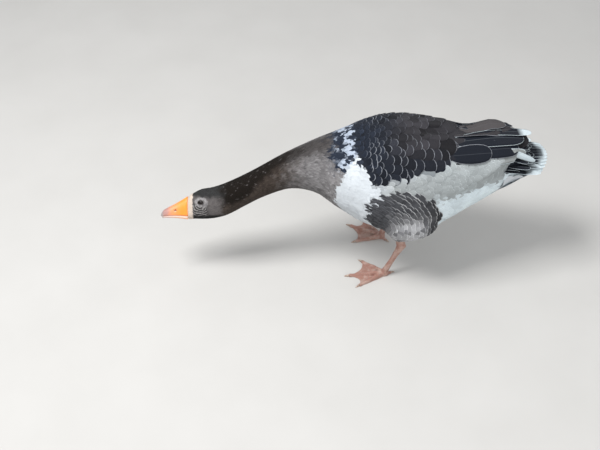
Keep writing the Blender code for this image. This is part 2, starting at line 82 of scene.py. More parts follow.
class Side(Enum):
    """The bird's two sides, by the sign of X there."""

    LEFT = 1
    RIGHT = -1

    @property
    def word(self) -> str:
        """The side's name, as nodes and pieces carry it."""
        return self.name.lower()


class Shade(Enum):
    """Named colours of the bird, as linear red, green and blue."""

    WHITE = (0.64, 0.68, 0.715)
    # Bluish white: on the rear belly it is the painted cast of shade; tips and rims of long feathers use it
    # too.
    COOL_WHITE = (0.70, 0.79, 0.83)
    PANEL = (0.32, 0.34, 0.34)
    NAVY = (0.017, 0.023, 0.038)
    SLATE = (0.013, 0.016, 0.024)
    SLATE_BROWN = (0.042, 0.039, 0.043)
    HUMP_BROWN = (0.090, 0.082, 0.084)
    SLATE_RIM = (0.36, 0.38, 0.42)
    NECK_BLACK = (0.011, 0.008, 0.006)
    COLLAR = (0.36, 0.41, 0.49)
    NECK_BROWN = (0.060, 0.046, 0.038)
    BREAST_GREY = (0.225, 0.217, 0.220)
    CROWN = (0.033, 0.033, 0.033)
    CHEEK = (0.125, 0.114, 0.112)
    FACE_FLECK = (0.30, 0.285, 0.28)
    EYE_RING = (0.36, 0.345, 0.345)
    BILL_BAND = (0.68, 0.58, 0.50)
    FLANK_DARK = (0.070, 0.072, 0.080)
    FLANK_GREY = (0.58, 0.58, 0.60)
    FLANK_RIM = (0.70, 0.71, 0.72)
    SKIN = (0.50, 0.33, 0.27)

    @property
    def rgb(self) -> Array:
        """The colour as an array."""
        return np.array(self.value)


@dataclass(frozen=True)
class Step:
    """A smooth step from 0 at low to 1 at high, which may be under low and made ragged by noise."""

    low: float
    high: float
    ragged: float = 0.0

    def __call__(self, value: Array | float, stir: Array | float = 0.0) -> Array:
        """The share of the step at each value, moved by the noise there."""
        t = np.clip((value + self.ragged * stir - self.low) / (self.high - self.low), 0.0, 1.0)
        return t * t * (3.0 - 2.0 * t)


@dataclass(frozen=True)
class Line:
    """A size or an angle that changes evenly from station to station."""

    at: tuple[float, ...]
    values: tuple[float, ...]

    def __call__(self, place: Array | float) -> Array:
        """The value at each place."""
        return np.interp(place, self.at, self.values)


def blend(first: Array, second: Array, share: Array) -> Array:
    """Mixes two colours, or two lists of colours, by a share for each row."""
    share = np.asarray(share, float).reshape(-1, 1)
    return np.asarray(first) * (1.0 - share) + np.asarray(second) * share


def layered(base: Array, *layers: tuple[Array, Array]) -> Array:
    """Lays colours, each with its share for each row, over a base."""
    for colour, share in layers:
        base = blend(base, colour, share)
    return base


def noise_at(points: Array, scale: float, seed: float = 0.0) -> Array:
    """Smooth noise from -1 to 1 at each point, its blotches this large, its pattern moved by the seed."""
    offset = Vector([seed * shift for shift in NOISE_SHIFT])
    return np.array([noise(Vector(point) / scale + offset) for point in points]) * NOISE_GAIN


def unit(vectors: Array) -> Array:
    """Each row scaled to length 1."""
    return vectors / np.maximum(np.linalg.norm(vectors, axis=-1, keepdims=True), 1e-12)


# Finishes


class Nodes:
    """A short way to wire a material's nodes. A value is a socket, a colour or a number."""

    def __init__(self, name: str) -> None:
        """Starts a material that holds a Principled shader."""
        self.material = bpy.data.materials.new(name)
        self.material.use_nodes = True
        self.tree = self.material.node_tree
        self.shader = self.tree.nodes["Principled BSDF"]

    def feed(self, socket: Socket, value: object) -> None:
        """Links an input to another socket, or sets its colour or number."""
        if isinstance(value, Socket):
            self.tree.links.new(value, socket)
        else:
            socket.default_value = (*value, 1.0) if socket.type == "RGBA" else value

    def add(self, kind: str, inputs: dict[str | int, object] | None = None,
            **settings: object) -> bpy.types.Node:
        """Adds a node, sets its properties and feeds its inputs.

        Args:
            kind: the node's type name.
            inputs: a value for each input, by its name or number.
            settings: properties of the node, by name.

        Returns:
            The node.
        """
        node = self.tree.nodes.new(kind)
        for name, value in settings.items():
            setattr(node, name, value)
        for name, value in (inputs or {}).items():
            self.feed(node.inputs[name], value)
        return node

    def attribute(self, name: str, output: str = "Fac") -> Socket:
        """A mesh attribute, read as a number or as a Color."""
        return self.add("ShaderNodeAttribute", attribute_name=name).outputs[output]

    def mix(self, share: object, first: object, second: object, kind: str = "MIX") -> Socket:
        """Mixes the first colour with the second by a share."""
        inputs = {0: share, 6: first, 7: second}
        return self.add("ShaderNodeMix", inputs, data_type="RGBA", blend_type=kind).outputs[2]

    def maths(self, operation: str, *values: object) -> Socket:
        """The result of a Math operation on the values."""
        return self.add("ShaderNodeMath", dict(enumerate(values)), operation=operation).outputs[0]

    def ramp(self, value: Socket, low: float, high: float) -> Socket:
        """A smooth step of a value from 0 at low to 1 at high."""
        inputs = {"Value": value, "From Min": low, "From Max": high}
        return self.add("ShaderNodeMapRange", inputs, interpolation_type="SMOOTHSTEP").outputs["Result"]

    def place(self) -> Socket:
        """The place on the piece, in metres."""
        return self.add("ShaderNodeTexCoord").outputs["Object"]

    def noise(self, scale: float, detail: float) -> Socket:
        """Noise with this many blotches to a metre, and this many finer layers."""
        inputs = {"Scale": scale, "Detail": detail, "Vector": self.place()}
        return self.add("ShaderNodeTexNoise", inputs).outputs["Fac"]

    def shaded(self, colour: Socket, roughness: float, height: Socket | None = None,
               depth: float = 0.0, **looks: object) -> Material:
        """Feeds the shader, with a bump where a height is given.

        Args:
            colour: the base colour.
            roughness: how matt it is.
            height: the bump's height.
            depth: how far the bump stands up, in metres.
            looks: a value for other inputs, by their names with _ for a space.

        Returns:
            The material.
        """
        looks |= {"Base_Color": colour, "Roughness": roughness}
        if height is not None:
            bump = self.add("ShaderNodeBump", {"Distance": depth, "Height": height})
            looks["Normal"] = bump.outputs["Normal"]
        for name, value in looks.items():
            self.feed(self.shader.inputs[name.replace("_", " ")], value)
        return self.material


@dataclass(frozen=True)
class FeatherFinish:
    """Feather vanes: a pale or dark rim, a shaft, and fine barbs that slant from the shaft."""

    name: str
    rim: float = 0.0006
    barb: float = 0.0009
    barb_depth: float = 0.00012
    barb_slant: float = -1.1
    barb_tone: float = 0.84
    shaft: float = 0.0
    shaft_share: float = 0.14
    grain: float = 900.0
    wobble: float = 1.4
    roughness: float = 0.72
    sheen: float = 0.015
    specular: float = 0.13

    def material(self) -> Material:
        """Builds the material, which reads the coats' own attributes and vane map."""
        nodes = Nodes(self.name)
        vane = nodes.add("ShaderNodeUVMap", uv_map="vane")
        split = nodes.add("ShaderNodeSeparateXYZ", {0: vane.outputs["UV"]})
        across = nodes.maths("ABSOLUTE", split.outputs["X"])
        slant = nodes.maths("MULTIPLY_ADD", across, self.barb_slant, split.outputs["Y"])
        barbs = nodes.maths("SINE", nodes.maths("MULTIPLY", slant, math.tau / self.barb))
        grain = nodes.noise(self.grain, 2.0)
        line = nodes.maths("MULTIPLY_ADD", grain, self.wobble, barbs)
        ragged = nodes.maths("MULTIPLY_ADD", grain, self.rim * 0.9, nodes.attribute("inset"))
        rim = nodes.attribute("rim", "Color")
        colour = nodes.mix(nodes.ramp(ragged, self.rim * 1.7, self.rim * 1.05),
                           nodes.attribute("coat", "Color"), rim)
        lines = nodes.mix(nodes.ramp(line, 0.2, 1.4), (1.0, 1.0, 1.0), (self.barb_tone,) * 3)
        colour = nodes.mix(1.0, colour, lines, "MULTIPLY")
        if self.shaft > 0.0:
            quill = nodes.ramp(across, self.shaft, self.shaft * 0.5)
            colour = nodes.mix(nodes.maths("MULTIPLY", quill, self.shaft_share), colour, rim)
        return nodes.shaded(colour, self.roughness, line, self.barb_depth, Sheen_Weight=self.sheen,
                            Specular_IOR_Level=self.specular)


@dataclass(frozen=True)
class SkinFinish:
    """Skin under the plumage, tinted like the coat over it."""

    name: str = "plumage skin"
    roughness: float = 0.8
    grain: float = 700.0
    grain_depth: float = 0.0006
    bare: float = 0.10

    def material(self) -> Material:
        """Builds the material, which reads the skin's own colours."""
        nodes = Nodes(self.name)
        grain = nodes.noise(self.grain, 3.0)
        colour = nodes.mix(nodes.maths("MULTIPLY", grain, self.bare), nodes.attribute("coat", "Color"),
                           Shade.SKIN.value)
        return nodes.shaded(colour, self.roughness, grain, self.grain_depth)


@dataclass(frozen=True)
class BillFinish:
    """Waxy horn that runs from amber at its root through salmon to a pale nail, with a painted highlight
    along the lower half's lip and painted shade where the halves meet.
    """

    name: str = "bill horn"
    root: Triple = (0.88, 0.29, 0.030)
    middle: Triple = (0.80, 0.29, 0.115)
    front: Triple = (0.42, 0.22, 0.19)
    nail: Triple = (0.32, 0.27, 0.26)
    # A painted highlight along the lower half's upper lip.
    edge: Triple = (0.88, 0.66, 0.57)
    # Painted shade along the upper half's cutting edge, where the halves meet.
    line: Triple = (0.34, 0.075, 0.035)
    # Painted shade inside the nostrils.
    pit: Triple = (0.10, 0.030, 0.015)
    blotch: float = 160.0
    blotch_share: float = 0.16
    edge_share: float = 0.9
    line_share: float = -0.75
    roughness: float = 0.42
    wax: float = 0.25
    wax_roughness: float = 0.3
    glow: float = 0.08
    glow_radius: Triple = (0.004, 0.0015, 0.0008)
    grain: float = 900.0
    grain_depth: float = 0.0002

    def material(self) -> Material:
        """Builds the material, which reads a place's share of the length and nearness to the edge."""
        nodes = Nodes(self.name)
        near_edge = nodes.attribute("edge")
        place = nodes.maths("MULTIPLY_ADD", nodes.noise(self.blotch, 4.0), self.blotch_share,
                            nodes.attribute("along"))
        colour = nodes.mix(nodes.ramp(place, 0.36, 0.70), self.root, self.middle)
        colour = nodes.mix(nodes.ramp(place, 0.66, 0.90), colour, self.front)
        colour = nodes.mix(nodes.ramp(place, 0.93, 1.02), colour, self.nail)
        # Painted highlight on the lower half's lip, where the edge attribute is above 0.
        colour = nodes.mix(nodes.maths("MULTIPLY", near_edge, self.edge_share), colour, self.edge)
        # Painted shade along the upper half's cutting edge, where the edge attribute is below 0.
        colour = nodes.mix(nodes.maths("MULTIPLY", near_edge, self.line_share), colour, self.line)
        # Painted shade inside the nostrils.
        colour = nodes.mix(nodes.attribute("pit"), colour, self.pit)
        return nodes.shaded(colour, self.roughness, nodes.noise(self.grain, 3.0), self.grain_depth,
                            Coat_Weight=self.wax, Coat_Roughness=self.wax_roughness,
                            Subsurface_Weight=self.glow, Subsurface_Radius=self.glow_radius)


@dataclass(frozen=True)
class LegFinish:
    """Scaly skin of legs and webs."""

    name: str = "leg skin"
    skin: Triple = (0.36, 0.195, 0.155)
    pale: Triple = (0.50, 0.36, 0.305)
    crease: Triple = (0.27, 0.10, 0.07)
    crease_share: float = 0.42
    scale: float = 420.0
    scale_depth: float = 0.0005
    blotch: float = 70.0
    roughness: float = 0.55
    glow: float = 0.1
    glow_radius: Triple = (0.004, 0.0015, 0.001)

    def material(self) -> Material:
        """Builds the material: small plates with dark creases between them."""
        nodes = Nodes(self.name)
        plates = nodes.add("ShaderNodeTexVoronoi", {"Scale": self.scale, "Vector": nodes.place()},
                           feature="DISTANCE_TO_EDGE").outputs["Distance"]
        crease = nodes.maths("MULTIPLY", nodes.ramp(plates, 0.14, 0.0), self.crease_share)
        colour = nodes.mix(nodes.ramp(nodes.noise(self.blotch, 4.0), 0.38, 0.68), self.skin, self.pale)
        return nodes.shaded(nodes.mix(crease, colour, self.crease), self.roughness,
                            nodes.ramp(plates, 0.0, 0.3), self.scale_depth,
                            Subsurface_Weight=self.glow, Subsurface_Radius=self.glow_radius)


@dataclass(frozen=True)
class HornFinish:
    """Plain horn or bare skin, streaked along its length."""

    name: str
    colour: Triple
    streak: Triple
    roughness: float = 0.4
    grain: float = 380.0
    grain_depth: float = 0.0002

    def material(self) -> Material:
        """Builds the material, with faint streaks."""
        nodes = Nodes(self.name)
        grain = nodes.noise(self.grain, 4.0)
        colour = nodes.mix(nodes.ramp(grain, 0.35, 0.7), self.colour, self.streak)
        return nodes.shaded(colour, self.roughness, grain, self.grain_depth)


@dataclass(frozen=True)
class EyeFinish:
    """A wet eye with a black pupil, a dark brown iris and a darker rim."""

    name: str = "goose eye"
    pupil: Triple = (0.004, 0.003, 0.003)
    iris: Triple = (0.013, 0.007, 0.004)
    rim: Triple = (0.006, 0.004, 0.003)
    fibre: float = 1500.0
    roughness: float = 0.06
    wet: float = 0.1
    wet_roughness: float = 0.02
    specular: float = 0.25

    def material(self) -> Material:
        """Builds the material, which reads the turn from the eye's axis in radians."""
        nodes = Nodes(self.name)
        turn = nodes.attribute("turn")
        iris = nodes.mix(nodes.ramp(nodes.noise(self.fibre, 4.0), 0.35, 0.7), self.iris, self.rim)
        colour = nodes.mix(nodes.ramp(turn, 0.30, 0.34), self.pupil, iris)
        colour = nodes.mix(nodes.ramp(turn, 0.72, 0.82), colour, self.rim)
        return nodes.shaded(colour, self.roughness, Coat_Weight=self.wet,
                            Coat_Roughness=self.wet_roughness, Specular_IOR_Level=self.specular)


@dataclass(frozen=True)
class FloorFinish:
    """A plain pale studio floor."""

    name: str = "studio floor"
    dark: Triple = (0.50, 0.49, 0.47)
    light: Triple = (0.56, 0.55, 0.53)
    blotch: float = 6.0
    roughness: float = 0.85

    def material(self) -> Material:
        """Builds the material, a little uneven in tone."""
        nodes = Nodes(self.name)
        colour = nodes.mix(nodes.noise(self.blotch, 3.0), self.dark, self.light)
        return nodes.shaded(colour, self.roughness)


# Mesh helpers


def activate(obj: Piece) -> None:
    """Selects one object alone and makes it the active one."""
    bpy.ops.object.select_all(action="DESELECT")
    obj.select_set(True)
    bpy.context.view_layer.objects.active = obj


@contextmanager
def editing(obj: Piece) -> Iterator[None]:
    """Holds one object in edit mode, with all of it selected at first."""
    activate(obj)
    bpy.ops.object.mode_set(mode="EDIT")
    bpy.ops.mesh.select_all(action="SELECT")
    yield
    bpy.ops.object.mode_set(mode="OBJECT")


def apply_modifier(obj: Piece, kind: str, **settings: object) -> None:
    """Adds a modifier, sets it and applies it.

    Args:
        obj: the object.
        kind: the modifier's type name.
        settings: properties of the modifier, by name.
    """
    activate(obj)
    modifier = obj.modifiers.new(kind.lower(), kind)
    for name, value in settings.items():
        setattr(modifier, name, value)
    bpy.ops.object.modifier_apply(modifier=modifier.name)


def smoothed_shell(obj: Piece, voxel: float, rounds: int) -> None:
    """Remeshes an object as one closed shell with faces this large, and smooths it this often."""
    apply_modifier(obj, "REMESH", mode="VOXEL", voxel_size=voxel)
    apply_modifier(obj, "SMOOTH", factor=0.5, iterations=rounds)


def add_object(name: str, data: bpy.types.ID) -> Piece:
    """Puts a new object that holds this mesh, light or camera in the scene, and returns it."""
    obj = bpy.data.objects.new(name, data)
    bpy.context.scene.collection.objects.link(obj)
    return obj


def primitive(name: str, add: Callable[..., set[str]], **settings: object) -> Piece:
    """Adds a primitive with nothing else selected.

    Args:
        name: the new object's name.
        add: the operator that adds it.
        settings: what the operator takes.

    Returns:
        The new object.
    """
    bpy.ops.object.select_all(action="DESELECT")
    add(**settings)
    obj = bpy.context.view_layer.objects.active
    obj.name = obj.data.name = name
    return obj


def dress(obj: Piece, finish: object) -> Piece:
    """Smooths the shading of a piece, gives it its finish and returns it."""
    obj.data.shade_smooth()
    obj.data.materials.append(finish.material())
    return obj


def joined_copy(name: str, nodes: tuple[str, ...]) -> Piece:
    """One object made of copies of CAD nodes, with their doubled points merged.

    Args:
        name: the new object's name.
        nodes: the names of the CAD nodes.

    Returns:
        The new object, with no material.
    """
    bpy.ops.object.select_all(action="DESELECT")
    copies = []
    for node in nodes:
        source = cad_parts[node]
        copies.append(add_object(f"{name} {node}", source.data.copy()))
        copies[-1].matrix_world = source.matrix_world
        copies[-1].select_set(True)
    obj = bpy.context.view_layer.objects.active = copies[0]
    bpy.ops.object.join()
    bpy.ops.object.transform_apply(location=True, rotation=True, scale=True)
    obj.name = obj.data.name = name
    obj.data.materials.clear()
    with editing(obj):
        bpy.ops.mesh.remove_doubles(threshold=0.00001)
    return obj


def numbers_of(items: bpy.types.bpy_prop_collection, name: str) -> Array:
    """One whole number of each corner or face of a mesh."""
    found = np.empty(len(items), np.int32)
    items.foreach_get(name, found)
    return found


def vectors_of(items: bpy.types.bpy_prop_collection, name: str) -> Array:
    """One place or direction of each point of a mesh, one to a row."""
    found = np.empty(len(items) * 3, np.float32)
    items.foreach_get(name, found)
    return found.reshape(-1, 3).astype(float)


def points_of(mesh: Mesh) -> Array:
    """The mesh's points, one to a row."""
    return vectors_of(mesh.vertices, "co")


def set_points(mesh: Mesh, points: Array) -> None:
    """Moves the mesh's points to these places."""
    mesh.vertices.foreach_set("co", points.astype(np.float32).ravel())
    mesh.update()


def set_number(mesh: Mesh, name: str, values: Array) -> None:
    """Stores one number for each point as an attribute."""
    mesh.attributes.new(name, "FLOAT", "POINT").data.foreach_set("value", np.asarray(values, np.float32))


def set_colour(mesh: Mesh, name: str, colours: Array) -> None:
    """Stores one colour for each point as an attribute."""
    rows = np.concatenate([colours, np.ones((len(colours), 1))], axis=1).astype(np.float32)
    mesh.attributes.new(name, "FLOAT_COLOR", "POINT").data.foreach_set("color", rows.ravel())


def set_map(mesh: Mesh, name: str, places: Array) -> None:
    """Stores a UV map from one place for each point."""
    rows = places[numbers_of(mesh.loops, "vertex_index")].astype(np.float32)
    mesh.uv_layers.new(name=name).data.foreach_set("uv", rows.ravel())


# The form that the feathers lie on


@dataclass(frozen=True)
class Spots:
    """Places on the form: points, outward normals and the way the feathers point there, with
    their rise, from -90 degrees under the belly to 90 on the back."""

    point: Array
    normal: Array
    flow: Array
    rise: Array

    @property
    def y(self) -> Array:
        """How far back each spot is."""
        return self.point[:, 1]

    def only(self, keep: Array) -> "Spots":
        """The spots that are kept."""
        return Spots(self.point[keep], self.normal[keep], self.flow[keep], self.rise[keep])

    def along(self, reach: Array | float) -> Array:
        """The points this far from the spots on the feathers' way."""
        return self.point + self.flow * np.reshape(reach, (-1, 1))


class HeadFrame:
    """Axes of the head, from the middle between the eyes."""

    def __init__(self) -> None:
        """Reads the eyes' places from the frame."""
        self.eyes = {side: Vector(np.mean(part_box(f"eye_{side.word}"), axis=0)) for side in Side}
        self.middle = (self.eyes[Side.LEFT] + self.eyes[Side.RIGHT]) / 2
        self.forward = Vector((0.0, -1.0, 0.0))
        left = self.eyes[Side.LEFT] - self.eyes[Side.RIGHT]
        self.left = (left - self.forward * left.dot(self.forward)).normalized()
        self.up = self.forward.cross(self.left)

    def place(self, ahead: float, above: float, left: float) -> Vector:
        """The point this far ahead of, above and to the left of the eyes' middle."""
        return self.middle + self.forward * ahead + self.up * above + self.left * left

    def read(self, points: Array) -> tuple[Array, Array, Array]:
        """How far ahead, above and to the left each point is."""
        off = points - np.array(self.middle)
        return off @ np.array(self.forward), off @ np.array(self.up), off @ np.array(self.left)


@dataclass
class Form:
    """The closed outer form of the flesh, which the feathers' tips reach."""

    voxel: float = 0.0025
    slab: float = 0.006
    front: float = -0.3375
    back: float = 0.3500
    closing: float = 0.0120
    dip_y: float = 0.232
    dip_reach: float = 0.048
    dip_depth: float = 0.010
    dip_side: Step = Step(0.02, -0.02)
    dip_height: Step = Step(0.27, 0.31)
    tail_core: float = 0.040
    tail_draw: float = 0.7
    tail_from: Step = Step(0.290, 0.310)
    thigh_top: float = 0.03
    between_legs: float = 0.02
    axis_step: float = 0.012

    def __post_init__(self) -> None:
        """Joins the frame's flesh into one smooth closed surface, its creases filled."""
        ends = ("eye_left", "eye_right", "bill_upper", "bill_lower", "tail")
        self.obj = joined_copy("form", (*FLESH_NODES, *ends))
        self.trim()
        for swell in (self.closing, -self.closing):
            smoothed_shell(self.obj, self.voxel, 3)
            apply_modifier(self.obj, "DISPLACE", strength=swell, mid_level=0.0)
        smoothed_shell(self.obj, self.voxel, 8)
        mesh = self.obj.data
        set_points(mesh, self.refined(points_of(mesh)))
        self.points = points_of(mesh)
        self.normals = vectors_of(mesh.vertex_normals, "vector")
        faces = [tuple(face.vertices) for face in mesh.polygons]
        self.tree = BVHTree.FromPolygons(self.points.tolist(), faces)
        self.read_axis()

    def trim(self) -> None:
        """Cuts off the bill ahead of its feathered root, and the thin end of the tail."""
        with editing(self.obj):
            for y, way in ((self.front, 1.0), (self.back, -1.0)):
                bpy.ops.mesh.select_all(action="SELECT")
                bpy.ops.mesh.bisect(plane_co=(0.0, y, 0.0), plane_no=(0.0, way, 0.0),
                                    use_fill=True, clear_inner=True)

    def refined(self, points: Array) -> Array:
        """Lowers the far side of the back ahead of the long folded feathers, and draws in the tail.

        Args:
            points: the form's points.

        Returns:
            The points, moved.
        """
        x, y, z = points.T
        along = 1.0 - np.clip(np.abs(y - self.dip_y) / self.dip_reach, 0.0, 1.0)
        share = Step(0.0, 1.0)(along) * self.dip_side(x)
        z -= self.dip_depth * share * self.dip_height(z)
        x -= np.sign(x) * (self.tail_draw * np.maximum(np.abs(x) - self.tail_core, 0.0) * self.tail_from(y))
        return points

    def read_axis(self) -> None:
        """Finds the form's middle and its girth at each Y, with the legs left out."""
        thigh_low, thigh_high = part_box("thigh_left")
        low, high = self.points[:, 1].min(), self.points[:, 1].max()
        self.axis_y = np.arange(low + self.slab, high - self.slab, self.slab)
        middles, radii = [], []
        for y in self.axis_y:
            slab = self.points[np.abs(self.points[:, 1] - y) < self.slab]
            floor, roof = slab[:, 2].min(), slab[:, 2].max()
            if thigh_low.y < y < thigh_high.y:
                between = slab[np.abs(slab[:, 0]) < self.between_legs, 2].min()
                floor = min(thigh_high.z - self.thigh_top, between)
            middles.append(((slab[:, 0].min() + slab[:, 0].max()) / 2, (floor + roof) / 2))
            radii.append((np.ptp(slab[:, 0]) + roof - floor) / 4)
        self.axis, self.girth = np.array(middles), Line(self.axis_y, math.tau * np.array(radii))

    def middle(self, y: Array) -> Array:
        """The middle of the form at each Y, one point to a row."""
        across, height = (np.interp(y, self.axis_y, places) for places in self.axis.T)
        return np.stack([across, np.asarray(y, float), height], axis=-1)

    def rise_of(self, points: Array) -> Array:
        """Degrees above level at which each point is seen from the form's middle."""
        off = points - self.middle(points[:, 1])
        return np.degrees(np.arctan2(off[:, 2], np.abs(off[:, 0])))

    def nearest(self, points: Array) -> tuple[Array, Array]:
        """The nearest place of the form to each point, and its outward normal."""
        found = [self.tree.find_nearest(point) for point in points.tolist()]
        return np.array([hit[0] for hit in found]), np.array([hit[1] for hit in found])

    def cast(self, starts: Array, aims: Array) -> Array:
        """Where lines from points outside, along these unit directions, first meet the form."""
        hits = [self.tree.ray_cast(Vector(start), Vector(aim))[0] for start, aim in zip(starts, aims)]
        return np.array([hit for hit in hits if hit is not None])

    def spots(self, points: Array, heading: Array) -> Spots:
        """Spots at points on the form, whose feathers point along a heading once it is laid flat."""
        point, normal = self.nearest(points)
        flow = heading - normal * np.sum(heading * normal, axis=1, keepdims=True)
        return Spots(point, normal, unit(flow), self.rise_of(point))

    def backwards(self, y: Array) -> Array:
        """The direction in which the form's middle runs back at each Y."""
        return unit(self.middle(y + self.axis_step) - self.middle(y - self.axis_step))


# Markings


@dataclass
class FaceMarkings:
    """Grey cheeks and crown, a pale flecked ring at the eye and a white band at the bill."""

    head: HeadFrame
    crown: Step = Step(0.006, 0.016, 0.003)
    chin: Step = Step(-0.025, -0.029)
    cheek_vary: float = 0.18
    whorl_at: Pair = (0.004, -0.004)
    whorl_pitch: float = 0.0046
    whorl_stir: float = 3.2
    fleck: Step = Step(0.0, 0.55, 0.5)
    fleck_from: Step = Step(-0.017, -0.008)
    fleck_top: Step = Step(-0.002, -0.008)
    fleck_end: Step = Step(-0.031, -0.026)
    shadow_from: Step = Step(-0.019, -0.008)
    shadow_top: Step = Step(0.002, -0.006)
    shadow_share: float = 0.8
    ring_at: Pair = (-0.001, 0.0008)
    ring_size: Pair = (0.0138, 0.0106)
    ring_edge: Step = Step(1.10, 0.86, 0.16)
    ring_inner: Step = Step(0.66, 0.50)
    ring_gaps: Step = Step(-0.35, 0.35, 0.5)
    band: Step = Step(0.0170, 0.0182, 0.0005)

    def colour(self, points: Array, fine: Array, patch: Array) -> Array:
        """The face's colour at each point.

        Args:
            points: places on the form.
            fine: fine noise there.
            patch: broad noise there.

        Returns:
            One colour for each.
        """
        ahead, above, _ = self.head.read(points)
        crown = Shade.CROWN.rgb
        colours = blend(Shade.CHEEK.rgb, crown, self.crown(above, patch))
        colours = colours * (1.0 + self.cheek_vary * fine[:, None])
        around = np.hypot(ahead - self.whorl_at[0], above - self.whorl_at[1])
        whorl = np.sin(around * math.tau / self.whorl_pitch + self.whorl_stir * patch + 1.0)
        flecks = (self.fleck(whorl, fine) * self.fleck_from(ahead) * self.fleck_top(above)
                  * self.fleck_end(above))
        shadow = self.shadow_share * self.shadow_from(ahead) * self.shadow_top(above)
        ring = np.hypot((ahead - self.ring_at[0]) / self.ring_size[0],
                        (above - self.ring_at[1]) / self.ring_size[1])
        light = self.ring_edge(ring, fine) * (0.40 + 0.60 * self.ring_gaps(fine, patch))
        light = light * (1.0 - 0.6 * self.ring_inner(ring))
        return layered(
            colours,
            (crown * 0.5, self.chin(above)),
            (crown * 0.6, shadow),
            (Shade.FACE_FLECK.rgb, flecks),
            (Shade.EYE_RING.rgb, light),
            (Shade.BILL_BAND.rgb, self.band(ahead, fine)),
        )


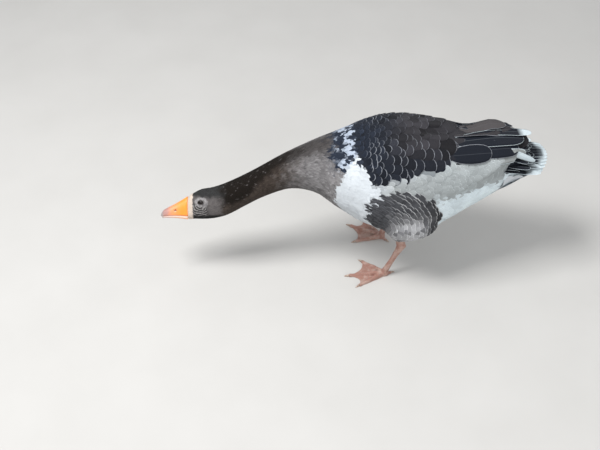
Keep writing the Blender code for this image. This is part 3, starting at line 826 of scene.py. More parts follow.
@dataclass
class Markings:
    """Where the bird is white, grey, brown and black, as seen on its left and mirrored.

    Borders are steps along the body in metres, or round it in degrees of rise.
    """

    face: FaceMarkings
    patch_size: float = 0.011
    fine_size: float = 0.0045
    saddle_edge: Line = Line(
        (0.000, 0.006, 0.015, 0.033, 0.083, 0.121, 0.164, 0.204, 0.233, 0.272, 0.318, 0.345),
        (75.0, 64.0, 46.0, 29.0, 31.0, 36.0, 40.0, 50.0, 46.0, 38.0, 27.0, 20.0))
    saddle_border: Step = Step(-2.0, 2.0)
    saddle_front: Step = Step(0.000, 0.006, 0.004)
    saddle_back: Step = Step(0.345, 0.335)
    tail_front: Step = Step(0.300, 0.308, 0.004)
    tail_height: Step = Step(0.279, 0.283)
    neck_line: Line = Line(
        (-0.265, -0.225, -0.205, -0.184, -0.144, -0.104, -0.064),
        (12.0, -8.0, 14.0, 38.0, 58.0, 62.0, 60.0))
    neck_border: Step = Step(-18.0, 18.0, 9.0)
    neck_grey: Step = Step(-0.165, -0.070, 0.012)
    neck_pale: Step = Step(-0.150, -0.075, 0.02)
    # Pale specks on the neck's black are painted glints.
    speck: Step = Step(0.86, 0.98)
    speck_size: float = 0.0022
    collar_front: Step = Step(-0.058, -0.036, 0.014)
    collar_low: Step = Step(33.0, 46.0, 8.0)
    ring_front: Step = Step(-0.046, -0.024)
    ring_back: Step = Step(0.006, -0.002)
    flake: Step = Step(-0.12, 0.30)
    flake_sizes: Pair = (0.0095, 0.0036)
    flake_draw: float = 0.55
    white_start: Line = Line(
        (-90.0, -40.0, -20.0, 8.0, 30.0, 50.0), (-0.010, -0.020, -0.036, -0.034, -0.024, -0.008))
    white_front: Step = Step(-0.002, 0.002, 0.005)
    white_top: Step = Step(56.0, 46.0, -10.0)
    # Where the rear belly takes the bluish cast of painted shade.
    white_cool: Step = Step(0.06, 0.20)
    panel_edge: Line = Line(
        (0.05, 0.09, 0.127, 0.177, 0.229, 0.289, 0.32), (22.0, 15.0, 12.0, 9.0, 5.0, -2.0, 10.0))
    panel_border: Step = Step(-2.0, 5.0)
    panel_front: Step = Step(0.045, 0.075, 0.006)
    panel_back: Step = Step(0.335, 0.30)
    panel_top: Step = Step(3.0, -3.0)
    panel_share: float = 0.85
    flank_y: float = 0.099
    flank_z: float = 0.203
    flank_long: float = 0.067
    flank_tall: float = 0.078
    flank_tilt: float = 0.20
    flank_power: float = 2.3
    flank_from: float = 0.040
    flank_scallops: float = 420.0
    flank_ragged: Step = Step(0.08, 0.05)
    flank_border: Step = Step(1.03, 0.97)
    shin_height: Step = Step(0.140, 0.128, 0.005)
    shin_out: Step = Step(0.040, 0.046)
    face_back: Step = Step(-0.252, -0.276, 0.006)

    def colour(self, points: Array, rise: Array) -> Array:
        """The plumage's colour at each point.

        Args:
            points: places on the form.
            rise: their rise in degrees.

        Returns:
            One colour for each.
        """
        x, y, z = points.T
        patch = noise_at(points, self.patch_size, 1.0)
        fine = noise_at(points, self.fine_size, 2.0)
        white = self.white_front(y - self.white_start(rise), -patch) * self.white_top(rise, patch)
        saddle = (self.saddle_border(rise - self.saddle_edge(y)) * self.saddle_front(y, patch)
                  * self.saddle_back(y))
        return layered(
            self.neck(y, rise, patch, fine),
            (self.collar(points), self.collar_front(y, patch) * self.collar_low(rise, patch)),
            (self.white(points, rise, patch), white),
            (Shade.SLATE.rgb, saddle),
            (Shade.SLATE.rgb, self.tail_front(y, patch) * self.tail_height(z)),
            (Shade.FLANK_DARK.rgb, self.flank_border(self.flank(points))),
            (Shade.FLANK_GREY.rgb * (0.62 + 0.42 * fine[:, None]),
             self.shin_height(z, patch) * self.shin_out(np.abs(x))),
            (self.face.colour(points, fine, patch), self.face_back(y, patch)),
        )

    def flank(self, points: Array) -> Array:
        """How far each point is from the middle of a dark flank, 1 at the patch's border."""
        x, y, z = points.T
        off_y = np.abs(y - self.flank_y) / self.flank_long
        off_z = np.abs(z - self.flank_z + self.flank_tilt * (y - self.flank_y)) / self.flank_tall
        ragged = 1.0 + 0.10 * np.sin(z * self.flank_scallops) * self.flank_ragged(y)
        power = self.flank_power
        off = (off_y**power + off_z**power) ** (1 / power) * ragged
        return np.where(np.abs(x) > self.flank_from, off, np.inf)

    def neck(self, y: Array, rise: Array, patch: Array, fine: Array) -> Array:
        """Nearly black on top of the neck, with pale specks that are painted glints, brown-grey below and
        mottled towards the breast.

        Args:
            y: how far back each point is.
            rise: its rise in degrees.
            patch: broad noise there.
            fine: fine noise there.

        Returns:
            One colour for each point.
        """
        side = blend(Shade.NECK_BROWN.rgb, Shade.BREAST_GREY.rgb, self.neck_grey(y, patch))
        side = side * (1.0 + 0.32 * fine[:, None] + 0.16 * patch[:, None])
        unrolled = np.stack([y, rise * 0.0005, np.zeros(len(y))], axis=1)
        # Painted glints: pale specks on the black.
        glints = self.speck(noise_at(unrolled, self.speck_size, 5.0))
        cheek = Shade.CHEEK.rgb
        black = layered(Shade.NECK_BLACK.rgb, (cheek, 0.9 * glints),
                        (cheek * 0.58, self.neck_pale(y, patch)))
        return blend(side, black, self.neck_border(rise - self.neck_line(y), patch))

    def collar(self, points: Array) -> Array:
        """Ragged white flakes, drawn out along the body, on navy black across the neck's root.

        Args:
            points: places on the form.

        Returns:
            One colour for each.
        """
        y = points[:, 1]
        drawn = points * np.array([1.0, self.flake_draw, 1.0])
        large, small = self.flake_sizes
        flakes = self.flake(noise_at(drawn, large, 1.0) + 0.55 * noise_at(drawn, small, 3.0))
        ring = self.ring_front(y) * self.ring_back(y)
        return blend(Shade.NAVY.rgb, Shade.COLLAR.rgb * 1.15, flakes * ring)

    def white(self, points: Array, rise: Array, patch: Array) -> Array:
        """White underparts, with the bluish cast of painted shade towards the rear, and greyer on the folded
        wing.

        Args:
            points: places on the form.
            rise: their rise in degrees.
            patch: broad noise there.

        Returns:
            One colour for each.
        """
        y = points[:, 1]
        panel = (self.panel_border(rise - self.panel_edge(y)) * self.panel_front(y, patch)
                 * self.panel_back(y) * self.panel_top(rise - self.saddle_edge(y)))
        # Painted shade: the white turns bluish towards the rear.
        cool = blend(Shade.WHITE.rgb, Shade.COOL_WHITE.rgb, self.white_cool(y))
        colours = blend(cool, Shade.PANEL.rgb, self.panel_share * panel)
        return colours * (1.0 + 0.12 * noise_at(points, 0.024, 12.0))[:, None]


@dataclass
class Skin:
    """The one skin under the coat, which stands for all the flesh of the frame."""

    form: Form
    marks: Markings
    depth: Line = Line(
        (-0.337, -0.318, -0.270, -0.200, -0.060, 0.050, 0.300, 0.350),
        (0.0005, 0.0008, 0.0013, 0.0020, 0.0024, 0.0030, 0.0030, 0.0025))
    shin_depth: float = 0.25
    shin: Step = Step(0.004, 0.03)
    socket: Step = Step(0.014, 0.010)
    socket_depth: float = 0.0030

    def depths(self, points: Array) -> Array:
        """How deep the skin lies under each point of the form, with a socket round each eye.

        Args:
            points: the form's points.

        Returns:
            One depth for each, in metres.
        """
        above = self.shin(points[:, 2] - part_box("thigh_left")[0].z)
        depth = self.depth(points[:, 1]) * (self.shin_depth + (1.0 - self.shin_depth) * above)
        for eye in self.marks.face.head.eyes.values():
            depth = depth + self.socket_depth * self.socket(np.linalg.norm(points - np.array(eye), axis=1))
        return depth

    def build(self) -> Piece:
        """Shrinks the form by the coat's depth and returns the skin."""
        mesh = self.form.obj.data.copy()
        points = self.form.points
        set_points(mesh, points - self.form.normals * self.depths(points)[:, None])
        set_colour(mesh, "coat", self.marks.colour(points, self.form.rise_of(points)))
        return dress(add_object("skin", mesh), SkinFinish())


# Feathers


@dataclass(frozen=True)
class Vane:
    """One kind of feather: its half widths at stations along it, as shares, how much it arches
    across, how thick it is, and how much of its root has no rim. The last station is its tip."""

    stations: tuple[float, ...]
    halves: tuple[float, ...]
    arch: float
    thickness: float = 0.00025
    columns: int = 3
    bare: float = 0.0

    @property
    def ring(self) -> int:
        """Points round the feather at one station."""
        return self.columns + 1

    def faces(self) -> tuple[Array, Array]:
        """The feather's faces, as four-cornered and three-cornered rows of point numbers."""
        ring, last = self.ring, (len(self.stations) - 1) * self.ring
        quads = []
        for near in range(0, last - ring, ring):
            for k in range(ring):
                after = (k + 1) % ring
                quads.append((near + k, near + after, near + ring + after, near + ring + k))
        tips = [(last - ring + k, last - ring + (k + 1) % ring, last) for k in range(ring)]
        tips += [(0, k + 1, k) for k in range(1, ring - 1)]
        return np.array(quads), np.array(tips)

    def upper(self, count: int) -> Array:
        """Whether each face of a mesh of many copies is on its feather's upper side."""
        ring = np.arange(self.ring) < self.columns - 1
        quads = np.tile(ring, len(self.stations) - 2)
        tips = np.concatenate([ring, np.zeros(self.ring - 2, bool)])
        return np.concatenate([np.tile(quads, count), np.tile(tips, count)])

    def template(self) -> Array:
        """How far across, from 1 to -1, along, from 0 to 1, and how wide each ring point is."""
        ring = [*np.linspace(1.0, -1.0, self.columns), 0.0]
        stations = zip(self.stations, self.halves)
        return np.array([(across, along, half) for along, half in stations
                         for across in ((0.0,) if half == 0.0 else ring)]).T


BLUNT = (0.0, 0.25, 0.5, 0.7, 0.83, 0.92, 0.975, 1.0)


class Shape(Enum):
    """The kinds of feather."""

    PLUSH = Vane((0.0, 0.35, 0.72, 1.0), (0.55, 1.0, 0.82, 0.0), 0.14, 0.00015)
    DOWN = Vane((0.0, 0.3, 0.6, 0.82, 0.95, 1.0), (0.5, 0.92, 1.0, 0.80, 0.42, 0.0), 0.02, 0.00015)
    BROAD = Vane(BLUNT, (0.5, 0.86, 1.0, 0.97, 0.83, 0.61, 0.34, 0.0), 0.035, 0.0004, 5, 0.5)
    SMOOTH = Vane(BLUNT, (0.5, 0.86, 1.0, 0.97, 0.86, 0.66, 0.38, 0.0), 0.012, 0.0003, 5, 0.3)
    SCALE = Vane((0.0, 0.3, 0.58, 0.78, 0.91, 0.97, 1.0), (0.6, 0.9, 1.0, 0.88, 0.6, 0.33, 0.0),
                 0.03, columns=5, bare=0.6)
    LONG = Vane((0.0, 0.15, 0.32, 0.5, 0.68, 0.82, 0.9, 0.955, 0.988, 1.0),
                (0.45, 0.75, 0.93, 1.0, 0.98, 0.88, 0.74, 0.53, 0.28, 0.0), 0.025, 0.0006, 7)


@dataclass
class Plumes:
    """What each feather is like, one value to a feather: sizes in metres, two colours, its turn in
    radians and, for long feathers, the share of it that has the rim's colour."""

    length: Array
    width: Array
    sink: Array
    lift: Array
    coat: Array
    rim: Array
    yaw: Array
    tip: Array | None = None


@dataclass
class FeatherMesh:
    """Builds many closed vanes of one kind as one mesh.

    Softness is how far they share the form's shading, and patch the size of a feather's place on
    the bake's map.
    """

    form: Form
    vane: Vane
    softness: float
    patch: Pair = (0.003, 0.003)

    def place(self, spots: Spots, plumes: Plumes) -> tuple[Array, Array]:
        """Finds every feather's points, laid on the form from root to tip.

        Args:
            spots: the roots.
            plumes: the feathers.

        Returns:
            The points and the form's normals there, by feather, ring point and axis.
        """
        vane = self.vane
        turn_cos = np.cos(plumes.yaw)[:, None]
        turn_sin = np.sin(plumes.yaw)[:, None]
        ahead = spots.flow * turn_cos + np.cross(spots.normal, spots.flow) * turn_sin
        side = np.cross(spots.normal, ahead)
        points, normals = [], []
        for along, half in zip(vane.stations, vane.halves):
            centre = spots.point + ahead * (plumes.length * along)[:, None]
            height = plumes.lift * along**1.5 - plumes.sink * (1.0 - along) ** 1.5
            for across in (0.0,) if half == 0.0 else np.linspace(1.0, -1.0, vane.columns):
                reach = plumes.width / 2 * half * across
                found, normal = self.form.nearest(centre + side * reach[:, None])
                arch = vane.arch * plumes.width * half * (0.5 - across * across)
                points.append(found + normal * (height + arch)[:, None])
                normals.append(normal)
            if half > 0.0:
                middle = -(vane.columns + 1) // 2
                points.append(points[middle] - normals[middle] * vane.thickness)
                normals.append(normals[middle])
        return np.stack(points, axis=1), np.stack(normals, axis=1)

    def paint(self, plumes: Plumes, along: Array) -> Array:
        """The vane's colour at each point."""
        return np.repeat(plumes.coat, len(along), axis=0)

    def build(self, name: str, spots: Spots, plumes: Plumes, unwrap: Array,
              finish: FeatherFinish) -> Piece:
        """Makes the mesh, its maps and its attributes.

        Args:
            name: the piece's name.
            spots: the roots.
            plumes: the feathers.
            unwrap: each root's place on an unwrap of the skin, from 0 to 1.
            finish: what the feathers are made of.

        Returns:
            The piece.
        """
        points, normals = self.place(spots, plumes)
        count, each = points.shape[:2]
        mesh = mesh_of_copies(name, points, self.vane.faces())
        across, along, half = self.vane.template()
        length, width = plumes.length[:, None], plumes.width[:, None]
        beside = (half * (1.0 - np.abs(across)) + self.vane.bare * (1.0 - along)) * width / 2
        set_number(mesh, "inset", np.minimum(beside, (1.0 - along) * length).ravel())
        set_colour(mesh, "coat", self.paint(plumes, along))
        set_colour(mesh, "rim", np.repeat(plumes.rim, each, axis=0))
        vane = np.stack([across * half * width / 2, along * length], axis=-1)
        set_map(mesh, "vane", vane.reshape(-1, 2))
        patch = np.stack([across * half / 2, along - 0.5], axis=-1) * np.array(self.patch)
        set_map(mesh, "OFBake", (unwrap[:, None, :] + patch[None]).reshape(-1, 2))
        mesh.shade_smooth()
        soften(mesh, normals.reshape(-1, 3), self.softness, self.vane.upper(count))
        mesh.materials.append(finish.material())
        return add_object(name, mesh)


def mesh_of_copies(name: str, points: Array, faces: tuple[Array, Array]) -> Mesh:
    """A mesh of many copies of one shape.

    Args:
        name: the mesh's name.
        points: the points, by copy, place in the copy and axis.
        faces: the four-cornered and the three-cornered faces of one copy.

    Returns:
        The mesh.
    """
    count, each = points.shape[:2]
    shift = (np.arange(count) * each)[:, None, None]
    fours, threes = ((part[None] + shift).ravel() for part in faces)
    starts = [np.arange(0, len(fours), 4), len(fours) + np.arange(0, len(threes), 3)]
    corners, starts = np.concatenate([fours, threes]), np.concatenate(starts)
    mesh = bpy.data.meshes.new(name)
    mesh.vertices.add(count * each)
    mesh.loops.add(len(corners))
    mesh.polygons.add(len(starts))
    mesh.vertices.foreach_set("co", points.astype(np.float32).ravel())
    mesh.loops.foreach_set("vertex_index", corners.astype(np.int32))
    mesh.polygons.foreach_set("loop_start", starts.astype(np.int32))
    mesh.update(calc_edges=True)
    mesh.validate()
    return mesh


def soften(mesh: Mesh, form_normals: Array, share: float, upper: Array) -> None:
    """Turns a coat's shading towards that of the form under it.

    Args:
        mesh: the coat.
        form_normals: the form's normal at each point.
        share: how far to turn it, up to 1.
        upper: whether each face is on the upper side of its feather.
    """
    own = vectors_of(mesh.vertex_normals, "vector")
    inward = np.minimum(np.sum(own * form_normals, axis=1, keepdims=True), 0.0)
    mixed = unit((own - form_normals * inward) * (1.0 - share) + form_normals * share)
    corners = numbers_of(mesh.loops, "vertex_index")
    above = np.repeat(upper, numbers_of(mesh.polygons, "loop_total"))[:, None]
    mesh.normals_split_custom_set(np.where(above, mixed[corners], -form_normals[corners]).tolist())


@dataclass
class Coat:
    """A tract of feathers in staggered rows round the form, between two Ys.

    Row and gap, the steps between rows and between the feathers of a row, are shares of a
    feather's length. Subclasses say which spots they hold and what their feathers are like.
    """

    form: Form
    marks: Markings
    name: str
    shape: Shape
    finish: FeatherFinish
    seed: int
    lengths: Line
    low: float = 0.0
    high: float = 0.1
    row: float = 0.22
    gap: float = 0.18
    jitter: float = 0.3
    softness: float = 0.85
    sink: float = 0.16
    yaw: float = 0.12
    tip_height: float = 0.0006
    tip_vary: float = 0.0005
    vary: float = 0.10
    slot: str = "plumage"

    def spacing(self, y: float) -> Pair:
        """The step between rows and between the feathers of a row at this Y."""
        length = float(self.lengths(y))
        return length * self.row, length * self.gap

    def heading(self, points: Array) -> Array:
        """Which way the feathers point: back along the body."""
        return self.form.backwards(points[:, 1])

    def rows(self) -> Spots:
        """The roots before trimming, found by lines cast at the form from all round."""
        rng = np.random.default_rng(self.seed)
        starts, aims = [], []
        y, turn = self.low, 0
        while y < self.high:
            row, gap = self.spacing(y)
            count = max(8, round(self.form.girth(y) / gap))
            wobble = rng.uniform(-self.jitter, self.jitter, (2, count))
            angles = (np.arange(count) + 0.5 * (turn % 2) + wobble[0]) * math.tau / count
            out = np.stack([np.cos(angles), np.zeros(count), np.sin(angles)], axis=1)
            starts.append(self.form.middle(y + wobble[1] * row) + out * OUTSIDE)
            aims.append(-out)
            y += row
            turn += 1
        points = self.form.cast(np.concatenate(starts), np.concatenate(aims))
        return self.form.spots(points, self.heading(points))

    def holds(self, spots: Spots) -> Array:
        """Which spots belong to the tract: all of them, unless a subclass trims them."""
        return np.ones(len(spots.point), bool)

    def plumes(self, spots: Spots, rng: Chance) -> Plumes:
        """What the feather at each spot is like."""
        raise NotImplementedError

    def unwrap(self, spots: Spots) -> Array:
        """Each root's place on the skin's unwrap: round the form, and along it."""
        off = spots.point - self.form.middle(spots.y)
        around = np.arctan2(off[:, 0], off[:, 2]) / math.tau + 0.5
        along = (spots.y - self.low) / (self.high - self.low)
        return np.clip(np.stack([around, along], axis=1), 0.0, 1.0) * 0.97 + 0.015

    def build(self) -> Piece:
        """Grows the coat and returns it as one piece."""
        spots = self.rows()
        spots = spots.only(self.holds(spots))
        plumes = self.plumes(spots, np.random.default_rng(self.seed + 100))
        maker = FeatherMesh(self.form, self.shape.value, self.softness)
        return maker.build(self.name, spots, plumes, self.unwrap(spots), self.finish)

    def tinted(self, spots: Spots, length: Array, rng: Chance) -> Array:
        """The markings' colour where each feather shows, its tone varied less where it is white."""
        colours = self.marks.colour(spots.along(0.7 * length), spots.rise)
        vary = self.vary * (1.0 - 0.85 * Step(0.3, 0.5)(colours.mean(axis=1, keepdims=True)))
        return np.clip(colours * (1.0 + rng.normal(0.0, 1.0, (len(colours), 1)) * vary), 0.0, BRIGHTEST)


@dataclass
class SmallPlumage(Coat):
    """Soft plumage. Widths, sinks and lifts are shares of a feather's length too."""

    slimness: float = 0.5
    lift: float = 0.02
    lift_vary: float = 0.4
    rim_light: float = 1.12

    def plumes(self, spots: Spots, rng: Chance) -> Plumes:
        """Feathers sized by their Y and tinted.

        Args:
            spots: the roots.
            rng: the source of chance.

        Returns:
            The feathers.
        """
        count = len(spots.point)
        length = self.lengths(spots.y) * rng.normal(1.0, 0.08, count)
        colours = self.tinted(spots, length, rng)
        return Plumes(
            length=length,
            width=length * self.slimness * rng.normal(1.0, 0.08, count),
            sink=length * self.sink,
            lift=length * self.lift * rng.normal(1.0, self.lift_vary, count),
            coat=colours,
            rim=np.clip(colours * self.rim_light, 0.0, BRIGHTEST),
            yaw=rng.normal(0.0, self.yaw, count),
        )


@dataclass
class HeadPlumage(SmallPlumage):
    """The finest plumage, kept clear of the eyes' openings."""

    eye_ahead: float = 0.0004
    eye_length: float = 0.0055
    eye_height: float = 0.0042

    def holds(self, spots: Spots) -> Array:
        """Spots whose feathers leave both eyes open, from root to tip."""
        places = np.array([spots.along(self.lengths(spots.y) * share) for share in (0.0, 0.5, 1.0)])
        ahead, above, _ = self.marks.face.head.read(places)
        off = np.hypot((ahead - self.eye_ahead) / self.eye_length, above / self.eye_height)
        return np.all(off > 1.0, axis=0)


@dataclass
class Underparts(SmallPlumage):
    """Breast, belly and vent: swept a little downwards, and kept off saddle, flanks and tail."""

    softness: float = 0.93
    slimness: float = 0.42
    sink: float = 0.10
    lift: float = 0.006
    lift_vary: float = 0.35
    yaw: float = 0.16
    rim_light: float = 1.05
    droop: float = 0.25
    saddle_from: float = 0.012
    saddle_room: float = 2.0
    tail_y: float = 0.285
    tail_z: float = 0.268

    def heading(self, points: Array) -> Array:
        """Back and a little down."""
        return self.form.backwards(points[:, 1]) - np.array([0.0, 0.0, self.droop])

    def holds(self, spots: Spots) -> Array:
        """Spots below the saddle that aren't on a flank or the tail.

        Args:
            spots: the roots.

        Returns:
            Whether each is kept.
        """
        edge = self.marks.saddle_edge(spots.y) + self.saddle_room
        off = (spots.rise > edge) & (spots.y > self.saddle_from)
        off |= (spots.y > self.tail_y) & (spots.point[:, 2] > self.tail_z)
        for share in (0.1, 0.5, 0.9):
            off |= self.marks.flank(spots.along(share * self.lengths(spots.y))) < 1.0
        return ~off


@dataclass
class Saddle(Coat):
    """Dark scalloped feathers of the back and the folded wings' coverts."""

    sink: float = 0.08
    yaw: float = 0.10
    slimness: float = 0.80
    middle_rise: float = 72.0
    middle_from: float = 0.205
    edge_room: float = 1.5
    brown_rise: Step = Step(38.0, 72.0)
    brown_front: Step = Step(0.03, 0.09)
    navy_back: Step = Step(0.05, 0.0)
    rim_front: Step = Step(0.0, 0.02)
    rim_rise: Step = Step(86.0, 56.0)

    def holds(self, spots: Spots) -> Array:
        """Spots above the saddle's edge, and behind the wings' roots only those in its middle."""
        edge = self.marks.saddle_edge(spots.y + self.lengths(spots.y) * 0.35)
        middle = (spots.rise > self.middle_rise) | (spots.y < self.middle_from)
        return (spots.rise > edge + self.edge_room) & middle

    def plumes(self, spots: Spots, rng: Chance) -> Plumes:
        """Broad slate feathers with thin pale rims, browner towards the back's middle.

        Args:
            spots: the roots.
            rng: the source of chance.

        Returns:
            The feathers.
        """
        count = len(spots.point)
        length = self.lengths(spots.y) * rng.normal(1.0, 0.06, count)
        brown = self.brown_rise(spots.rise) * self.brown_front(spots.y)
        coat = layered(Shade.SLATE.rgb, (Shade.SLATE_BROWN.rgb, 0.75 * brown),
                       (Shade.NAVY.rgb, self.navy_back(spots.y) * 0.7))
        cloud = noise_at(spots.point, 0.030, 9.0)[:, None]
        tone = 1.0 + rng.normal(0.0, 0.24, (count, 1)) + 0.30 * cloud * brown[:, None]
        coat = coat * np.clip(tone, 0.4, 2.0)
        fade = self.rim_front(spots.y) * (0.14 + 0.86 * self.rim_rise(spots.rise))
        fade = fade * rng.uniform(0.45, 1.0, count)
        return Plumes(
            length=length,
            width=length * self.slimness * rng.normal(1.0, 0.07, count),
            sink=length * self.sink,
            lift=self.tip_height + self.tip_vary * rng.random(count),
            coat=np.clip(coat, 0.004, 1.0),
            rim=blend(coat * 2.0, Shade.SLATE_RIM.rgb, fade),
            yaw=rng.normal(0.0, self.yaw, count),
        )


@dataclass
class WingPanel(Coat):
    """Long grey-white feathers of the folded wing, below the saddle."""

    sink: float = 0.06
    yaw: float = 0.04
    vary: float = 0.05
    slimness: float = 0.42
    pace: float = 0.011
    climb: float = 0.12
    under_saddle: float = 6.0
    flank_room: float = 0.95
    rim_light: float = 1.7

    def spacing(self, y: float) -> Pair:
        """Even rows and gaps."""
        return self.pace, self.pace

    def heading(self, points: Array) -> Array:
        """Back and a little up, towards the wing's tip."""
        return self.form.backwards(points[:, 1]) + np.array([0.0, 0.0, self.climb])

    def holds(self, spots: Spots) -> Array:
        """Spots between the belly and the saddle's lower edge, off the flanks."""
        low, high = self.marks.panel_edge(spots.y), self.marks.saddle_edge(spots.y)
        between = (spots.rise > low) & (spots.rise < high + self.under_saddle)
        return between & (self.marks.flank(spots.point) > self.flank_room)

    def plumes(self, spots: Spots, rng: Chance) -> Plumes:
        """Long smooth feathers with faint edges.

        Args:
            spots: the roots.
            rng: the source of chance.

        Returns:
            The feathers.
        """
        count = len(spots.point)
        length = self.lengths(spots.y)
        colours = self.tinted(spots, length, rng)
        return Plumes(
            length=length * rng.normal(1.0, 0.05, count),
            width=length * self.slimness,
            sink=length * self.sink,
            lift=self.tip_height + self.tip_vary * rng.random(count),
            coat=colours,
            rim=np.clip(colours * self.rim_light, 0.0, BRIGHTEST),
            yaw=rng.normal(0.0, self.yaw, count),
        )


@dataclass(kw_only=True)
class Flank(Coat):
    """The dark patch over a thigh, barred by pale rims in arcs that fan out back and up."""

    side: Side
    sink: float = 0.12
    yaw: float = 0.05
    tip_height: float = 0.0005
    tip_vary: float = 0.0004
    arc_step: float = 0.0074
    arc_gap: float = 0.0098
    fan_y: float = 0.022
    fan_z: float = 0.180
    fan_reach: Pair = (0.012, 0.165)
    fan_turn: Pair = (-1.3, 1.5)
    stretch: Line = Line((0.03, 0.13), (0.8, 1.2))
    slimness: float = 1.05
    end: float = 0.017
    end_room: float = 1.07
    root_room: float = 1.12
    grey_height: Step = Step(0.235, 0.185)
    grey_front: Step = Step(0.050, 0.078)
    grey_back: Step = Step(0.150, 0.118)
    dark_back: Step = Step(0.118, 0.145)
    rim_front: Step = Step(0.052, 0.090)

    def heading(self, points: Array) -> Array:
        """Outwards from a point low at the front of the thigh."""
        return unit((points - np.array([0.0, self.fan_y, self.fan_z])) * np.array([0.0, 1.0, 1.0]))

    def rows(self) -> Spots:
        """The roots in staggered arcs about the fan's middle, found by level lines from the side."""
        rng = np.random.default_rng(self.seed)
        starts, turn = [], 0
        reach, last = self.fan_reach
        while reach < last:
            step = self.arc_gap / reach
            angles = np.arange(*self.fan_turn, step) + 0.5 * step * (turn % 2)
            angles = angles + rng.uniform(-self.jitter, self.jitter, len(angles)) * step
            out = reach * (1.0 + rng.uniform(-0.01, 0.01, len(angles)))
            y, z = self.fan_y + out * np.cos(angles), self.fan_z + out * np.sin(angles)
            starts.append(np.stack([np.full(len(y), OUTSIDE * self.side.value), y, z], axis=1))
            reach += self.arc_step * float(self.stretch(reach))
            turn += 1
        starts = np.concatenate(starts)
        aims = np.tile((-float(self.side.value), 0.0, 0.0), (len(starts), 1))
        points = self.form.cast(starts, aims)
        return self.form.spots(points, self.heading(points))

    def holds(self, spots: Spots) -> Array:
        """Spots on this side whose feathers end on the patch."""
        here = self.marks.flank(spots.along(self.end)) < self.end_room
        here &= self.marks.flank(spots.point) < self.root_room
        return here & (spots.point[:, 0] * self.side.value > 0.0)

    def plumes(self, spots: Spots, rng: Chance) -> Plumes:
        """Dark feathers, greyer low in the middle, with rims that are palest above and behind.

        Args:
            spots: the roots.
            rng: the source of chance.

        Returns:
            The feathers.
        """
        count = len(spots.point)
        _, y, z = spots.point.T
        length = self.lengths(y) * rng.normal(1.0, 0.08, count)
        grey = self.grey_height(z) * self.grey_front(y) * self.grey_back(y)
        coat = blend(Shade.FLANK_DARK.rgb, Shade.FLANK_GREY.rgb, grey * rng.uniform(0.20, 1.0, count))
        coat = coat * (1.0 - 0.5 * self.dark_back(y))[:, None]
        pale = self.rim_front(y) * (1.0 - 0.2 * grey) * rng.uniform(0.35, 1.0, count)
        return Plumes(
            length=length,
            width=length * self.slimness,
            sink=length * self.sink,
            lift=self.tip_height + self.tip_vary * rng.random(count),
            coat=np.clip(coat * (1.0 + rng.normal(0.0, 0.15, (count, 1))), 0.0, 1.0),
            rim=blend(coat * 1.7, Shade.FLANK_RIM.rgb, pale),
            yaw=rng.normal(0.0, self.yaw, count),
        )


@dataclass
class Shins(SmallPlumage):
    """Short plumage round the thighs' lower ends, pointing down the legs."""

    around: float = 0.030
    height: float = 0.034
    pace: float = 0.0030
    shank_top: float = 0.006

    def rows(self) -> Spots:
        """Evenly spaced roots near the top of each shank."""
        found = []
        for side in Side:
            shank = points_of(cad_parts[f"shank_{side.word}"].data)
            top = shank[shank[:, 2] > shank[:, 2].max() - self.shank_top].mean(axis=0)
            x, y, z = (self.form.points - top).T
            near = self.form.points[(np.hypot(x, y) < self.around) & (z < self.height)]
            first = np.unique(np.round(near / self.pace), axis=0, return_index=True)[1]
            found.append(near[np.sort(first)])
        points = np.concatenate(found)
        return self.form.spots(points, np.tile((0.0, 0.15, -1.0), (len(points), 1)))


